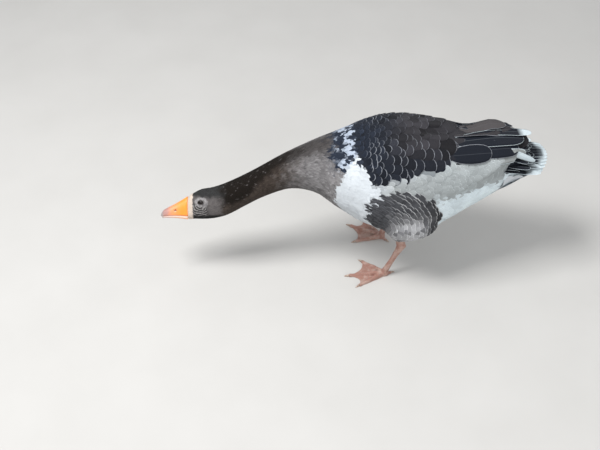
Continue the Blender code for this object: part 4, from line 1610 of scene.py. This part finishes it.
@dataclass
class Plumage:
    """All coats of small feathers, from the head to the tail and down to the shanks."""

    form: Form
    marks: Markings
    plain: FeatherFinish = FeatherFinish("body feather", rim=0.0007)

    def neck(self) -> list[Coat]:
        """The plush of the head and the neck."""
        bird, plush, dark = (self.form, self.marks), Shape.PLUSH, "dark plumage"
        fine = FeatherFinish("face feather", rim=0.0003, barb=0.0005, barb_depth=0.00006)
        face = Line((-0.3365, -0.315, -0.262), (0.0036, 0.0048, 0.0070))
        neck = Line((-0.33, -0.27, -0.20, -0.12, -0.05), (0.0045, 0.0075, 0.0105, 0.0135, 0.0165))
        return [
            HeadPlumage(*bird, "coat_head", plush, fine, 1, face, -0.3365, -0.262, 0.30, 0.26,
                        slimness=0.36, vary=0.07, slot=dark),
            SmallPlumage(*bird, "coat_neck", plush, self.plain, 2, neck, -0.262, -0.165, 0.26,
                         slimness=0.28, vary=0.07, slot=dark),
            SmallPlumage(*bird, "coat_neck_root", plush, self.plain, 3, neck, -0.165, -0.060, 0.24,
                         slimness=0.30, slot=dark),
        ]

    def body(self) -> list[Coat]:
        """The coats of breast, belly, folded wings, back, thighs and the tops of the shanks."""
        bird, wing = (self.form, self.marks), "wing plumage"
        white = FeatherFinish("white feather", rim=0.0007, barb=0.0011, barb_depth=0.00006)
        panel = FeatherFinish("wing feather", rim=0.0007, shaft=0.0003, barb=0.0013)
        back = FeatherFinish("saddle feather", rim=0.0015)
        barred = FeatherFinish("flank feather", rim=0.0016)
        under = Line((-0.07, -0.04, 0.0, 0.08, 0.2, 0.34), (0.0155, 0.018, 0.026, 0.030, 0.034, 0.038))
        folded = Line((0.05, 0.12, 0.24, 0.30), (0.026, 0.044, 0.056, 0.046))
        saddle = Line((-0.01, 0.03, 0.08, 0.15, 0.20, 0.30), (0.017, 0.023, 0.033, 0.046, 0.052, 0.058))
        flank = Line((0.04, 0.10, 0.17), (0.016, 0.024, 0.032))
        return [
            Underparts(*bird, "coat_breast", Shape.DOWN, white, 4, under, -0.060, 0.050, gap=0.19),
            Underparts(*bird, "coat_belly", Shape.DOWN, white, 5, under, 0.050, 0.318, gap=0.20),
            WingPanel(*bird, "coat_wing_panel", Shape.SMOOTH, panel, 6, folded, 0.050, 0.312, slot=wing),
            Saddle(*bird, "coat_saddle", Shape.BROAD, back, 7, saddle, -0.002, 0.292, 0.40, 0.54,
                   jitter=0.28, softness=0.6, slot=wing),
            *[Flank(*bird, f"coat_flank_{side.word}", Shape.SCALE, barred, 8, flank, 0.02, 0.185,
                    jitter=0.15, softness=0.6, side=side) for side in Side],
            Shins(*bird, "coat_shins", Shape.PLUSH, self.plain, 9, Line((0.0,), (0.011,)), slimness=0.48,
                  sink=0.12, yaw=0.2, softness=0.8, vary=0.08),
        ]

    def coats(self) -> list[Coat]:
        """Every coat, in the order in which they are grown."""
        return [*self.neck(), *self.body()]


# Long feathers of the wings and the tail


@dataclass
class QuillMesh(FeatherMesh):
    """Large feathers that follow the form while it carries them, and run on straight past it."""

    hold: float = 0.0045
    steepest: float = 0.35
    nearest_turn: float = 0.5

    def place(self, spots: Spots, plumes: Plumes) -> tuple[Array, Array]:
        """Lays every feather step by step from its root, whose flow is the way to its tip."""
        pairs = [self.lay(spots, plumes, k) for k in range(len(spots.point))]
        return np.array([pair[0] for pair in pairs]), np.array([pair[1] for pair in pairs])

    def lay(self, spots: Spots, plumes: Plumes, k: int) -> tuple[list[Vector], list[Vector]]:
        """Lays one feather.

        Args:
            spots: the roots.
            plumes: the feathers.
            k: the feather's number.

        Returns:
            Its points and their normals.
        """
        vane = self.vane
        point, ahead, normal = (Vector(part[k]) for part in (spots.point, spots.flow, spots.normal))
        heading = ahead.copy()
        points, normals, before = [], [], 0.0
        for along, half in zip(vane.stations, vane.halves):
            point = point + ahead * plumes.length[k] * (along - before)
            before = along
            found, face, _, far = self.form.tree.find_nearest(point)
            carried = face.dot(heading) < self.steepest and face.dot(normal) > self.nearest_turn
            if far < self.hold and carried:
                point, normal = found, face
                ahead = (ahead - normal * ahead.dot(normal)).normalized()
            side = normal.cross(ahead)
            height = plumes.lift[k] * (0.35 + 0.65 * along) - plumes.sink[k] * (1.0 - along) ** 3
            reach = plumes.width[k] / 2 * half
            for across in (0.0,) if half == 0.0 else np.linspace(1.0, -1.0, vane.columns):
                arch = vane.arch * plumes.width[k] * half * (0.5 - across * across)
                points.append(point + side * reach * across + normal * (height + arch))
                normals.append(normal)
            if half > 0.0:
                points.append(points[-(vane.columns + 1) // 2] - normal * vane.thickness)
                normals.append(normal)
        return points, normals

    def paint(self, plumes: Plumes, along: Array) -> Array:
        """The vane's colour at each point, running into the rim's colour at its tip."""
        tip = plumes.tip[:, None]
        share = (Step(-0.04, 0.04)(along[None] - (1.0 - tip)) * (tip > 0.0))[..., None]
        return (plumes.coat[:, None] * (1.0 - share) + plumes.rim[:, None] * share).reshape(-1, 3)


@dataclass(frozen=True)
class Quill:
    """A large feather, by the X, Y and Z of its root and its tip, in metres.

    A Z of 0 means on top of the form and one under 0 means on its underside. White_tip is the
    share of the length that has the rim's colour.
    """

    root: Triple
    tip: Triple
    width: float
    lift: float
    coat: Shade
    rim: Shade
    white_tip: float = 0.0


@dataclass
class Quills:
    """A named group of large feathers laid one over another, the lowest first."""

    form: Form
    name: str
    quills: list[Quill]
    finish: FeatherFinish
    outside: float = 0.6
    lean: float = -3.0
    sink: float = 0.003
    vary: float = 0.08
    softness: float = 0.35
    seed: int = 7

    def seat(self, place: Triple) -> tuple[Vector, Vector]:
        """Drops a root onto the form or raises it onto its underside, unless it has a Z of its own.

        Args:
            place: its X, Y and Z.

        Returns:
            The point and the normal there.
        """
        if place[2] > 0.0:
            return Vector(place), Vector((place[0] * self.lean, 0.0, 1.0)).normalized()
        way = -1.0 if place[2] == 0.0 else 1.0
        start = Vector((place[0], place[1], -self.outside * way))
        point, normal, _, _ = self.form.tree.ray_cast(start, Vector((0.0, 0.0, way)))
        if point is None:
            raise ValueError(f"{self.name}: nothing under {place}")
        return point, normal

    def build(self) -> Piece:
        """Lays the feathers and returns them as one piece."""
        rows = []
        for quill in self.quills:
            root, normal = self.seat(quill.root)
            way = Vector((*quill.tip[:2], quill.tip[2] or root.z)) - root
            flow = way if quill.tip[2] else way - normal * way.dot(normal)
            rows.append((root, normal, flow.normalized(), way.length))
        points, normals, flows, lengths = (np.array(part) for part in zip(*rows))
        count = len(rows)
        sizes = [(quill.width, quill.lift, quill.white_tip) for quill in self.quills]
        widths, lifts, tips = np.array(sizes).T
        shades = np.array([quill.coat.value for quill in self.quills])
        plumes = Plumes(
            length=lengths,
            width=widths,
            sink=np.full(count, self.sink),
            lift=lifts,
            coat=shades * (1.0 + np.random.default_rng(self.seed).normal(0.0, self.vary, (count, 1))),
            rim=np.array([quill.rim.value for quill in self.quills]),
            yaw=np.zeros(count),
            tip=tips,
        )
        unwrap = np.stack([(np.arange(count) + 0.5) / count, np.full(count, 0.5)], axis=1)
        maker = QuillMesh(self.form, Shape.LONG.value, self.softness, (0.84 / count, 0.94))
        spots = Spots(points, normals, flows, self.form.rise_of(points))
        return maker.build(self.name, spots, plumes, unwrap, self.finish)


@dataclass
class WingQuills:
    """The tertials and flight feathers of the folded wings, from the lowest to the topmost."""

    form: Form

    def left(self) -> list[Quill]:
        """The left wing's long feathers."""
        dark, rim, white = Shade.SLATE, Shade.SLATE_RIM, Shade.COOL_WHITE
        return [
            Quill((0.064, 0.245, 0.0), (0.038, 0.336, 0.0), 0.028, 0.0010, Shade.PANEL, white),
            Quill((0.038, 0.276, 0.342), (0.055, 0.362, 0.317), 0.014, 0.0026, white, white),
            Quill((0.050, 0.226, 0.0), (0.036, 0.322, 0.0), 0.038, 0.0020, dark, rim),
            Quill((0.060, 0.184, 0.0), (0.052, 0.266, 0.0), 0.040, 0.0034, dark, rim),
            Quill((0.030, 0.196, 0.0), (0.016, 0.334, 0.0), 0.042, 0.0046, dark, white),
            Quill((0.008, 0.262, 0.0), (0.000, 0.349, 0.0), 0.024, 0.0110, dark, white, 0.24),
            Quill((0.010, 0.196, 0.0), (0.000, 0.316, 0.0), 0.036, 0.0068, Shade.SLATE_BROWN, rim),
        ]

    def right(self) -> list[Quill]:
        """The right wing's long feathers, which lie a little further forward."""
        dark, rim = Shade.SLATE, Shade.SLATE_RIM
        return [
            Quill((-0.060, 0.245, 0.0), (-0.041, 0.318, 0.0), 0.020, 0.0010, Shade.PANEL, Shade.COOL_WHITE),
            Quill((-0.054, 0.226, 0.0), (-0.038, 0.318, 0.0), 0.036, 0.0026, dark, rim),
            Quill((-0.060, 0.186, 0.0), (-0.054, 0.268, 0.0), 0.038, 0.0040, dark, rim),
            Quill((-0.036, 0.200, 0.0), (-0.026, 0.322, 0.0), 0.036, 0.0050, dark, rim),
            Quill((-0.020, 0.212, 0.0), (-0.016, 0.304, 0.0), 0.046, 0.0075, Shade.HUMP_BROWN, rim),
        ]

    def build(self, side: Side) -> Piece:
        """One wing's long feathers, as one piece."""
        quills = self.left() if side is Side.LEFT else self.right()
        finish = FeatherFinish("tertial", rim=0.0011, shaft=0.0007, shaft_share=0.09, barb=0.0014,
                               barb_depth=0.00016)
        return Quills(self.form, f"tertials_{side.word}", quills, finish).build()


@dataclass
class TailQuills:
    """The tail's closed fan, its middle pair on top."""

    form: Form
    pairs: int = 7
    root_y: float = 0.272
    root_z: float = 0.2960
    root_step: float = 0.0064
    tip_y: float = 0.3905
    tip_z: float = 0.2945
    tip_step: float = 0.0080
    pair_fall: float = 0.0004
    roundness: float = 7.5
    droop: float = 2.4
    width: float = 0.0240
    lift: float = 0.0004
    white: float = 0.08
    white_step: float = 0.020

    def build(self) -> Piece:
        """Lays the fan from its outer feathers inwards, and returns it as one piece."""
        quills = []
        for pair in reversed(range(self.pairs)):
            for side in Side:
                near, far = (side.value * step * (pair + 0.5) for step in (self.root_step, self.tip_step))
                down = self.pair_fall * pair
                root = (near, self.root_y, self.root_z - down - self.droop * near**2)
                tip = (far, self.tip_y - self.roundness * far**2, self.tip_z - down - self.droop * far**2)
                quills.append(Quill(root, tip, self.width, self.lift, Shade.SLATE, Shade.COOL_WHITE,
                                    self.white + self.white_step * pair))
        finish = FeatherFinish("tail feather", rim=0.0010, shaft=0.0006, barb=0.0014, barb_depth=0.00016)
        return Quills(self.form, "tail_feathers", quills, finish).build()


@dataclass
class TailCoverts:
    """Feathers that run from the rump onto the tail: dark ones above it and white ones below it.

    A dark pair is the root's X and Z and the tip's Y and Z, the lowest pair first. A white row is
    its roots' Y and half width, its number of feathers, and its tips' Y and Z, from the end forwards.
    """

    form: Form
    dark_pairs: tuple[tuple[float, ...], ...] = (
        (0.043, 0.299, 0.348, 0.2960), (0.028, 0.305, 0.357, 0.2985), (0.012, 0.308, 0.361, 0.2995),
        (0.035, 0.312, 0.345, 0.3020), (0.020, 0.320, 0.351, 0.3060), (0.006, 0.322, 0.353, 0.3070),
        (0.027, 0.328, 0.346, 0.3140), (0.010, 0.330, 0.350, 0.3155), (0.019, 0.336, 0.345, 0.3225),
        (0.004, 0.337, 0.347, 0.3235))
    dark_root_y: float = 0.306
    dark_spread: float = 1.16
    dark_width: float = 0.022
    dark_lift: float = 0.0006
    white_rows: tuple[tuple[float, float, int, float, float], ...] = (
        (0.322, 0.041, 7, 0.380, 0.2800), (0.304, 0.043, 7, 0.364, 0.2730), (0.284, 0.050, 8, 0.342, 0.2620))
    white_spread: float = 1.05
    white_roundness: float = 6.0
    white_rise: float = 2.0
    white_width: float = 0.020
    white_lift: float = 0.0008
    white_step: float = 0.0010

    def above(self) -> list[Quill]:
        """Dark feathers between the wings' tips and the tail's fan."""
        quills = []
        for across, root_z, tip_y, tip_z in self.dark_pairs:
            for side in Side:
                root = (side.value * across, self.dark_root_y, root_z)
                tip = (side.value * across * self.dark_spread, tip_y, tip_z)
                quills.append(Quill(root, tip, self.dark_width, self.dark_lift, Shade.SLATE,
                                    Shade.COOL_WHITE))
        return quills

    def below(self) -> list[Quill]:
        """White feathers under the tail."""
        quills = []
        for number, (root_y, half, count, tip_y, tip_z) in enumerate(self.white_rows):
            lift = self.white_lift + self.white_step * number
            for k in range(count):
                across = half * (2.0 * k / (count - 1) - 1.0)
                tip = (across * self.white_spread, tip_y - self.white_roundness * across**2,
                       tip_z + self.white_rise * across**2)
                quills.append(Quill((across, root_y, -1.0), tip, self.white_width, lift, Shade.WHITE,
                                    Shade.WHITE))
        return quills

    def build(self) -> list[Piece]:
        """Lays both groups and returns them as two pieces."""
        dark = FeatherFinish("tail covert", rim=0.0009, shaft=0.0005, barb=0.0013)
        pale = FeatherFinish("white covert", rim=0.0007, barb=0.0011, barb_depth=0.00006)
        return [Quills(self.form, "tail_coverts_top", self.above(), dark).build(),
                Quills(self.form, "tail_coverts_under", self.below(), pale).build()]


# Head, legs and claws


@dataclass
class Bill:
    """The two halves of the bill, lofted from its root to its tip."""

    head: HeadFrame
    root_ahead: float = 0.0215
    length: float = 0.0645
    culmen: float = 0.0142
    culmen_fall: float = 0.0352
    culmen_sag: float = 0.0030
    tomium: float = 0.0300
    tomium_rise: float = 0.0016
    tomium_hook: float = 0.0022
    root_width: float = 0.0156
    end_width: float = 0.0098
    edge_width: float = 0.0006
    lower_root: float = 0.0098
    lower_end: float = 0.0042
    lower_width: float = 0.95
    lower_length: float = 0.955
    gap: float = 0.0003
    inset: float = 0.0040
    nail: Step = Step(0.84, 0.86)
    nail_side: Step = Step(0.55, 0.8)
    nail_height: float = 0.0005
    root_tuck: float = 0.0036
    feathered: Step = Step(0.0090, 0.0055)
    lower_tuck: float = 1.2
    upper_edge: Step = Step(0.075, 0.03)
    lower_edge: Step = Step(0.62, 0.45)
    nostril_ahead: float = 0.0540
    nostril_above: float = -0.0180
    nostril_slope: float = -0.25
    nostril_size: Pair = (0.0038, 0.0015)
    nostril_depth: float = 0.0022
    nostril_wall: Step = Step(1.25, 0.5)
    # Where shade is painted into the nostril.
    nostril_dark: Step = Step(1.0, 0.6)
    stations: int = 72
    corners: int = 37

    def profile(self, share: float) -> tuple[float, float, float]:
        """Reads the bill's section.

        Args:
            share: how far along the bill it is.

        Returns:
            The half width, the cutting edge and the ridge there.
        """
        blunt = math.sqrt(max(0.0, 1.0 - share**11))
        bow = math.sin(math.pi * share)
        half = (self.root_width + (self.end_width - self.root_width) * share
                - self.edge_width) * blunt + self.edge_width
        edge = self.tomium_rise * bow - self.tomium_hook * share**6 - self.tomium
        ridge = self.culmen - self.culmen_fall * share - self.culmen_sag * bow
        return half, edge, edge + (ridge - edge) * blunt**1.3 + self.edge_width

    def point(self, upper: bool, along: float, turn: float) -> tuple[Vector, float, float]:
        """Finds a point of one half. Its root is drawn in, so that the face's feathers lie over it.

        Args:
            upper: whether it is on the upper half.
            along: how far along the half it is, from 0 to 1.
            turn: how far round it is, from one cutting edge at 0 to the other at pi.

        Returns:
            The point, its share of the length and its nearness to the edge, under 0 if upper.
        """
        reach = self.length * (1.0 - (1.0 - along) ** 1.35) - self.inset * (1.0 - along) ** 12
        share = max(0.0, reach) / self.length
        half, edge, ridge = self.profile(share)
        sine, cosine = max(0.0, math.sin(turn)), math.cos(turn)
        tuck = self.root_tuck * float(self.feathered(reach))
        if upper:
            above = edge + (ridge - edge) * sine**0.95
            above += self.nail_height * float(self.nail(share) * self.nail_side(sine))
            above -= tuck * sine
            across = half * math.copysign(abs(cosine) ** 0.72, cosine)
            # Below 0 near the cutting edge, where the material paints shade along the seam.
            near = -float(self.upper_edge(sine))
        else:
            tuck *= self.lower_tuck
            reach *= self.lower_length
            depth = self.lower_root + (self.lower_end - self.lower_root) * share
            above = edge - self.gap - depth * sine**0.8 + tuck * sine
            across = half * self.lower_width * math.copysign(abs(cosine) ** 0.7, cosine)
            # Near the lower half's lip, where the material paints a highlight.
            near = float(self.lower_edge(sine))
        place = self.head.place(self.root_ahead + reach, above, across - math.copysign(tuck, across))
        return place, share, near

    def half(self, name: str, upper: bool) -> Piece:
        """One half of the bill as a closed shell.

        Args:
            name: the piece's name.
            upper: whether it is the upper half.

        Returns:
            The piece.
        """
        obj = primitive(name, bpy.ops.mesh.primitive_grid_add, x_subdivisions=self.corners,
                        y_subdivisions=self.stations, size=1.0)
        found = [self.point(upper, vert.co.y + 0.5, math.pi * (vert.co.x + 0.5))
                 for vert in obj.data.vertices]
        places, shares, nears = (np.array(part) for part in zip(*found))
        set_points(obj.data, places)
        set_number(obj.data, "along", shares)
        set_number(obj.data, "edge", nears)
        self.close(obj)
        obj.data.materials.append(BillFinish().material())
        return obj

    def close(self, obj: Piece) -> None:
        """Closes a half across its cutting edges and its root, and turns its faces outwards."""
        with editing(obj):
            bpy.ops.mesh.remove_doubles(threshold=SEAM)
            bpy.ops.mesh.select_all(action="DESELECT")
            bpy.ops.mesh.select_mode(type="EDGE")
            bpy.ops.mesh.select_non_manifold()
            bpy.ops.mesh.edge_face_add()
            bpy.ops.mesh.select_all(action="SELECT")
            bpy.ops.mesh.quads_convert_to_tris(quad_method="BEAUTY", ngon_method="BEAUTY")
            bpy.ops.mesh.normals_make_consistent(inside=False)
        bpy.ops.object.shade_smooth_by_angle(angle=math.radians(55))

    def nostrils(self, upper: Piece) -> None:
        """Presses a nostril into each side of the upper half, and paints shade into it.

        Args:
            upper: the upper half.
        """
        points = points_of(upper.data)
        ahead, above, left = self.head.read(points)
        slope = self.nostril_slope * (ahead - self.nostril_ahead)
        off = np.hypot((ahead - self.nostril_ahead) / self.nostril_size[0],
                       (above - self.nostril_above - slope) / self.nostril_size[1])
        # The nostrils' dark is painted shade.
        set_number(upper.data, "pit", 0.9 * self.nostril_dark(off))
        deep = np.sign(left) * self.nostril_wall(off) * self.nostril_depth
        set_points(upper.data, points - np.array(self.head.left) * deep[:, None])

    def build(self) -> dict[str, Piece]:
        """Both halves, by the nodes that they replace."""
        upper = self.half("bill_top", True)
        self.nostrils(upper)
        return {"bill_upper": upper, "bill_lower": self.half("bill_bottom", False)}


@dataclass
class Eye:
    """One eyeball and the lids round its almond opening."""

    head: HeadFrame
    form: Form
    side: Side
    radius: float = 0.0066
    ahead: float = 0.16
    upward: float = 0.10
    cornea: Step = Step(0.75, 0.0)
    cornea_height: float = 0.0003
    half_length: float = 0.0052
    half_height: float = 0.0036
    almond: float = 0.22
    lid: float = 0.0005
    border: float = 0.0042
    border_depth: float = 0.0012
    border_from: float = 0.3

    @property
    def axis(self) -> Vector:
        """The way that the eye looks: outwards, a little ahead and up."""
        out = self.head.left * self.side.value
        return (out + self.head.forward * self.ahead + self.head.up * self.upward).normalized()

    def ball(self) -> Piece:
        """The eyeball, with a slightly raised cornea."""
        obj = primitive(f"eyeball_{self.side.word}", bpy.ops.mesh.primitive_uv_sphere_add, segments=64,
                        ring_count=40, radius=self.radius)
        points = points_of(obj.data)
        turn = np.arccos(np.clip(points[:, 2] / self.radius, -1.0, 1.0))
        points[:, 2] += self.cornea_height * self.cornea(turn)
        spin = self.axis.to_track_quat("Z", "Y").to_matrix()
        set_points(obj.data, points @ np.array(spin).T + np.array(self.head.eyes[self.side]))
        set_number(obj.data, "turn", turn)
        return dress(obj, EyeFinish())

    def lid_point(self, turn: float, out: float) -> Vector:
        """Finds a point of the lids.

        Args:
            turn: how far round the opening it is, in radians.
            out: how far out, from 0 at the opening to 1 under the face's feathers.

        Returns:
            The point.
        """
        axis, head = self.axis, self.head
        ahead = (head.forward - axis * axis.dot(head.forward)).normalized()
        above = (head.up - axis * axis.dot(head.up) - ahead * ahead.dot(head.up)).normalized()
        reach = self.border * out
        a = math.cos(turn) * (self.half_length + reach)
        b = math.sin(turn) * (self.half_height * (1.0 - self.almond * math.cos(turn) ** 2) + reach)
        wide = min(math.hypot(a, b), self.radius * 1.25)
        skin = self.radius + self.lid
        height = math.sqrt(max(skin**2 - wide**2, 0.0)) if wide < skin else 0.0
        point = head.eyes[self.side] + ahead * a + above * b + axis * height
        if out > self.border_from:
            found, normal, _, _ = self.form.tree.find_nearest(point + axis * 0.004)
            share = float(Step(self.border_from, 1.0)(out))
            point = point.lerp(found - normal * self.border_depth, share)
        return point

    def lids(self) -> Piece:
        """The lids, from the opening's thick rim to their border under the face's feathers."""
        obj = primitive(f"lids_{self.side.word}", bpy.ops.mesh.primitive_grid_add, x_subdivisions=64,
                        y_subdivisions=9, size=1.0)
        set_points(obj.data, np.array([self.lid_point(math.tau * (vert.co.x + 0.5), vert.co.y + 0.5)
                                       for vert in obj.data.vertices]))
        with editing(obj):
            bpy.ops.mesh.remove_doubles(threshold=SEAM)
            bpy.ops.mesh.normals_make_consistent(inside=False)
        apply_modifier(obj, "SOLIDIFY", thickness=self.lid, offset=0.0)
        apply_modifier(obj, "SUBSURF", levels=1, render_levels=1)
        return dress(obj, HornFinish("eyelid", (0.022, 0.019, 0.018), (0.050, 0.044, 0.042), 0.6))


@dataclass
class Leg:
    """One bare leg with its webbed foot, and its claws."""

    side: Side
    voxel: float = 0.0009
    tuck: float = 0.012
    tuck_from: float = 0.016

    def skin(self) -> Piece:
        """Shank, toes and webs as one smooth skin, drawn up into the thigh's feathers."""
        word = self.side.word
        obj = joined_copy(f"leg_{word}", (f"shank_{word}", f"foot_{word}"))
        smoothed_shell(obj, self.voxel, 6)
        points = points_of(obj.data)
        height = np.maximum(points[:, 2], 0.0)
        top = height.max()
        points[:, 2] = height + self.tuck * Step(top - self.tuck_from, top)(height)
        set_points(obj.data, points)
        return dress(obj, LegFinish())

    def claw(self, toe: str) -> Piece:
        """One claw, rounded from its frame solid."""
        obj = joined_copy(f"nail_{toe}_{self.side.word}", (f"claw_{toe}_{self.side.word}",))
        apply_modifier(obj, "SUBSURF", levels=2, render_levels=2)
        return dress(obj, HornFinish("claw horn", (0.50, 0.38, 0.30), (0.22, 0.15, 0.12)))


# Studio


@dataclass
class Studio:
    """A pale floor, soft light from above, and the camera beside and above the bird."""

    camera_at: Triple = (1.3533, -0.1038, 1.400)
    pitch: float = 44.0
    lens: float = 52.2
    aim: Triple = (0.0, 0.0, 0.2)
    key_power: float = 60.0
    fill: float = 0.26
    sky: Triple = (0.95, 0.97, 1.0)
    sky_strength: float = 0.62
    floor_size: float = 16.0

    def floor(self) -> None:
        """A plain pale floor."""
        obj = primitive("floor", bpy.ops.mesh.primitive_plane_add, size=self.floor_size)
        obj.data.materials.append(FloorFinish().material())

    def light(self, name: str, at: Triple, size: float, power: float) -> None:
        """One soft square light that faces the bird.

        Args:
            name: the light's name.
            at: its place.
            size: its side, in metres.
            power: its power, in watts.
        """
        data = bpy.data.lights.new(name, "AREA")
        data.shape = "SQUARE"
        data.size = size
        data.energy = power
        lamp = add_object(name, data)
        lamp.location = at
        lamp.rotation_euler = (Vector(self.aim) - Vector(at)).to_track_quat("-Z", "Y").to_euler()

    def camera(self) -> None:
        """The camera, level from side to side and looking down across the bird."""
        data = bpy.data.cameras.new("camera")
        data.lens = self.lens
        data.sensor_width = 36.0
        camera = add_object("camera", data)
        camera.location = self.camera_at
        angle = math.radians(self.pitch)
        aim = Vector((-math.cos(angle), 0.0, -math.sin(angle)))
        camera.rotation_euler = aim.to_track_quat("-Z", "Y").to_euler()
        bpy.context.scene.camera = camera

    def build(self) -> None:
        """Sets up the floor, the lights, the camera and the plain colour handling."""
        self.floor()
        self.light("key light", (0.5, -1.0, 2.3), 0.8, self.key_power)
        self.light("fill light", (1.8, 1.2, 1.2), 1.6, self.key_power * self.fill)
        world = bpy.data.worlds.new("soft studio")
        world.use_nodes = True
        sky = world.node_tree.nodes["Background"].inputs
        sky["Color"].default_value = (*self.sky, 1.0)
        sky["Strength"].default_value = self.sky_strength
        bpy.context.scene.world = world
        bpy.context.scene.view_settings.view_transform = "Standard"
        self.camera()


def keep(piece: Piece, slot: str, *nodes: str) -> None:
    """Rides a finished piece on the bird, hides the frame's nodes that it replaces, and logs it.

    Args:
        piece: the piece.
        slot: a slot for the piece, not used.
        nodes: the frame's nodes that it replaces.
    """
    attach(piece, BODY)
    if nodes:
        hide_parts(*nodes)
    log.info("%s: %d faces", piece.name, len(piece.data.polygons))


def main() -> None:
    """Builds the goose piece by piece."""
    logging.basicConfig(level=logging.INFO, format="%(message)s")
    head = HeadFrame()
    form = Form()
    markings = Markings(FaceMarkings(head))
    keep(Skin(form, markings).build(), "plumage", *FLESH_NODES)
    for coat in Plumage(form, markings).coats():
        keep(coat.build(), coat.slot)
    keep(TailQuills(form).build(), "tail plumage", "tail")
    for piece in TailCoverts(form).build():
        keep(piece, "tail plumage")
    for side in Side:
        keep(WingQuills(form).build(side), "wing plumage")
    for node, piece in Bill(head).build().items():
        keep(piece, "bill", node)
    for side in Side:
        eye = Eye(head, form, side)
        keep(eye.ball(), "eye", f"eye_{side.word}")
        keep(eye.lids(), "dark plumage")
        leg = Leg(side)
        keep(leg.skin(), "leg", f"shank_{side.word}", f"foot_{side.word}")
        for toe in TOES:
            keep(leg.claw(toe), "claw", f"claw_{toe}_{side.word}")
    bpy.data.objects.remove(form.obj, do_unlink=True)
    Studio().build()


if __name__ == "__main__":
    main()
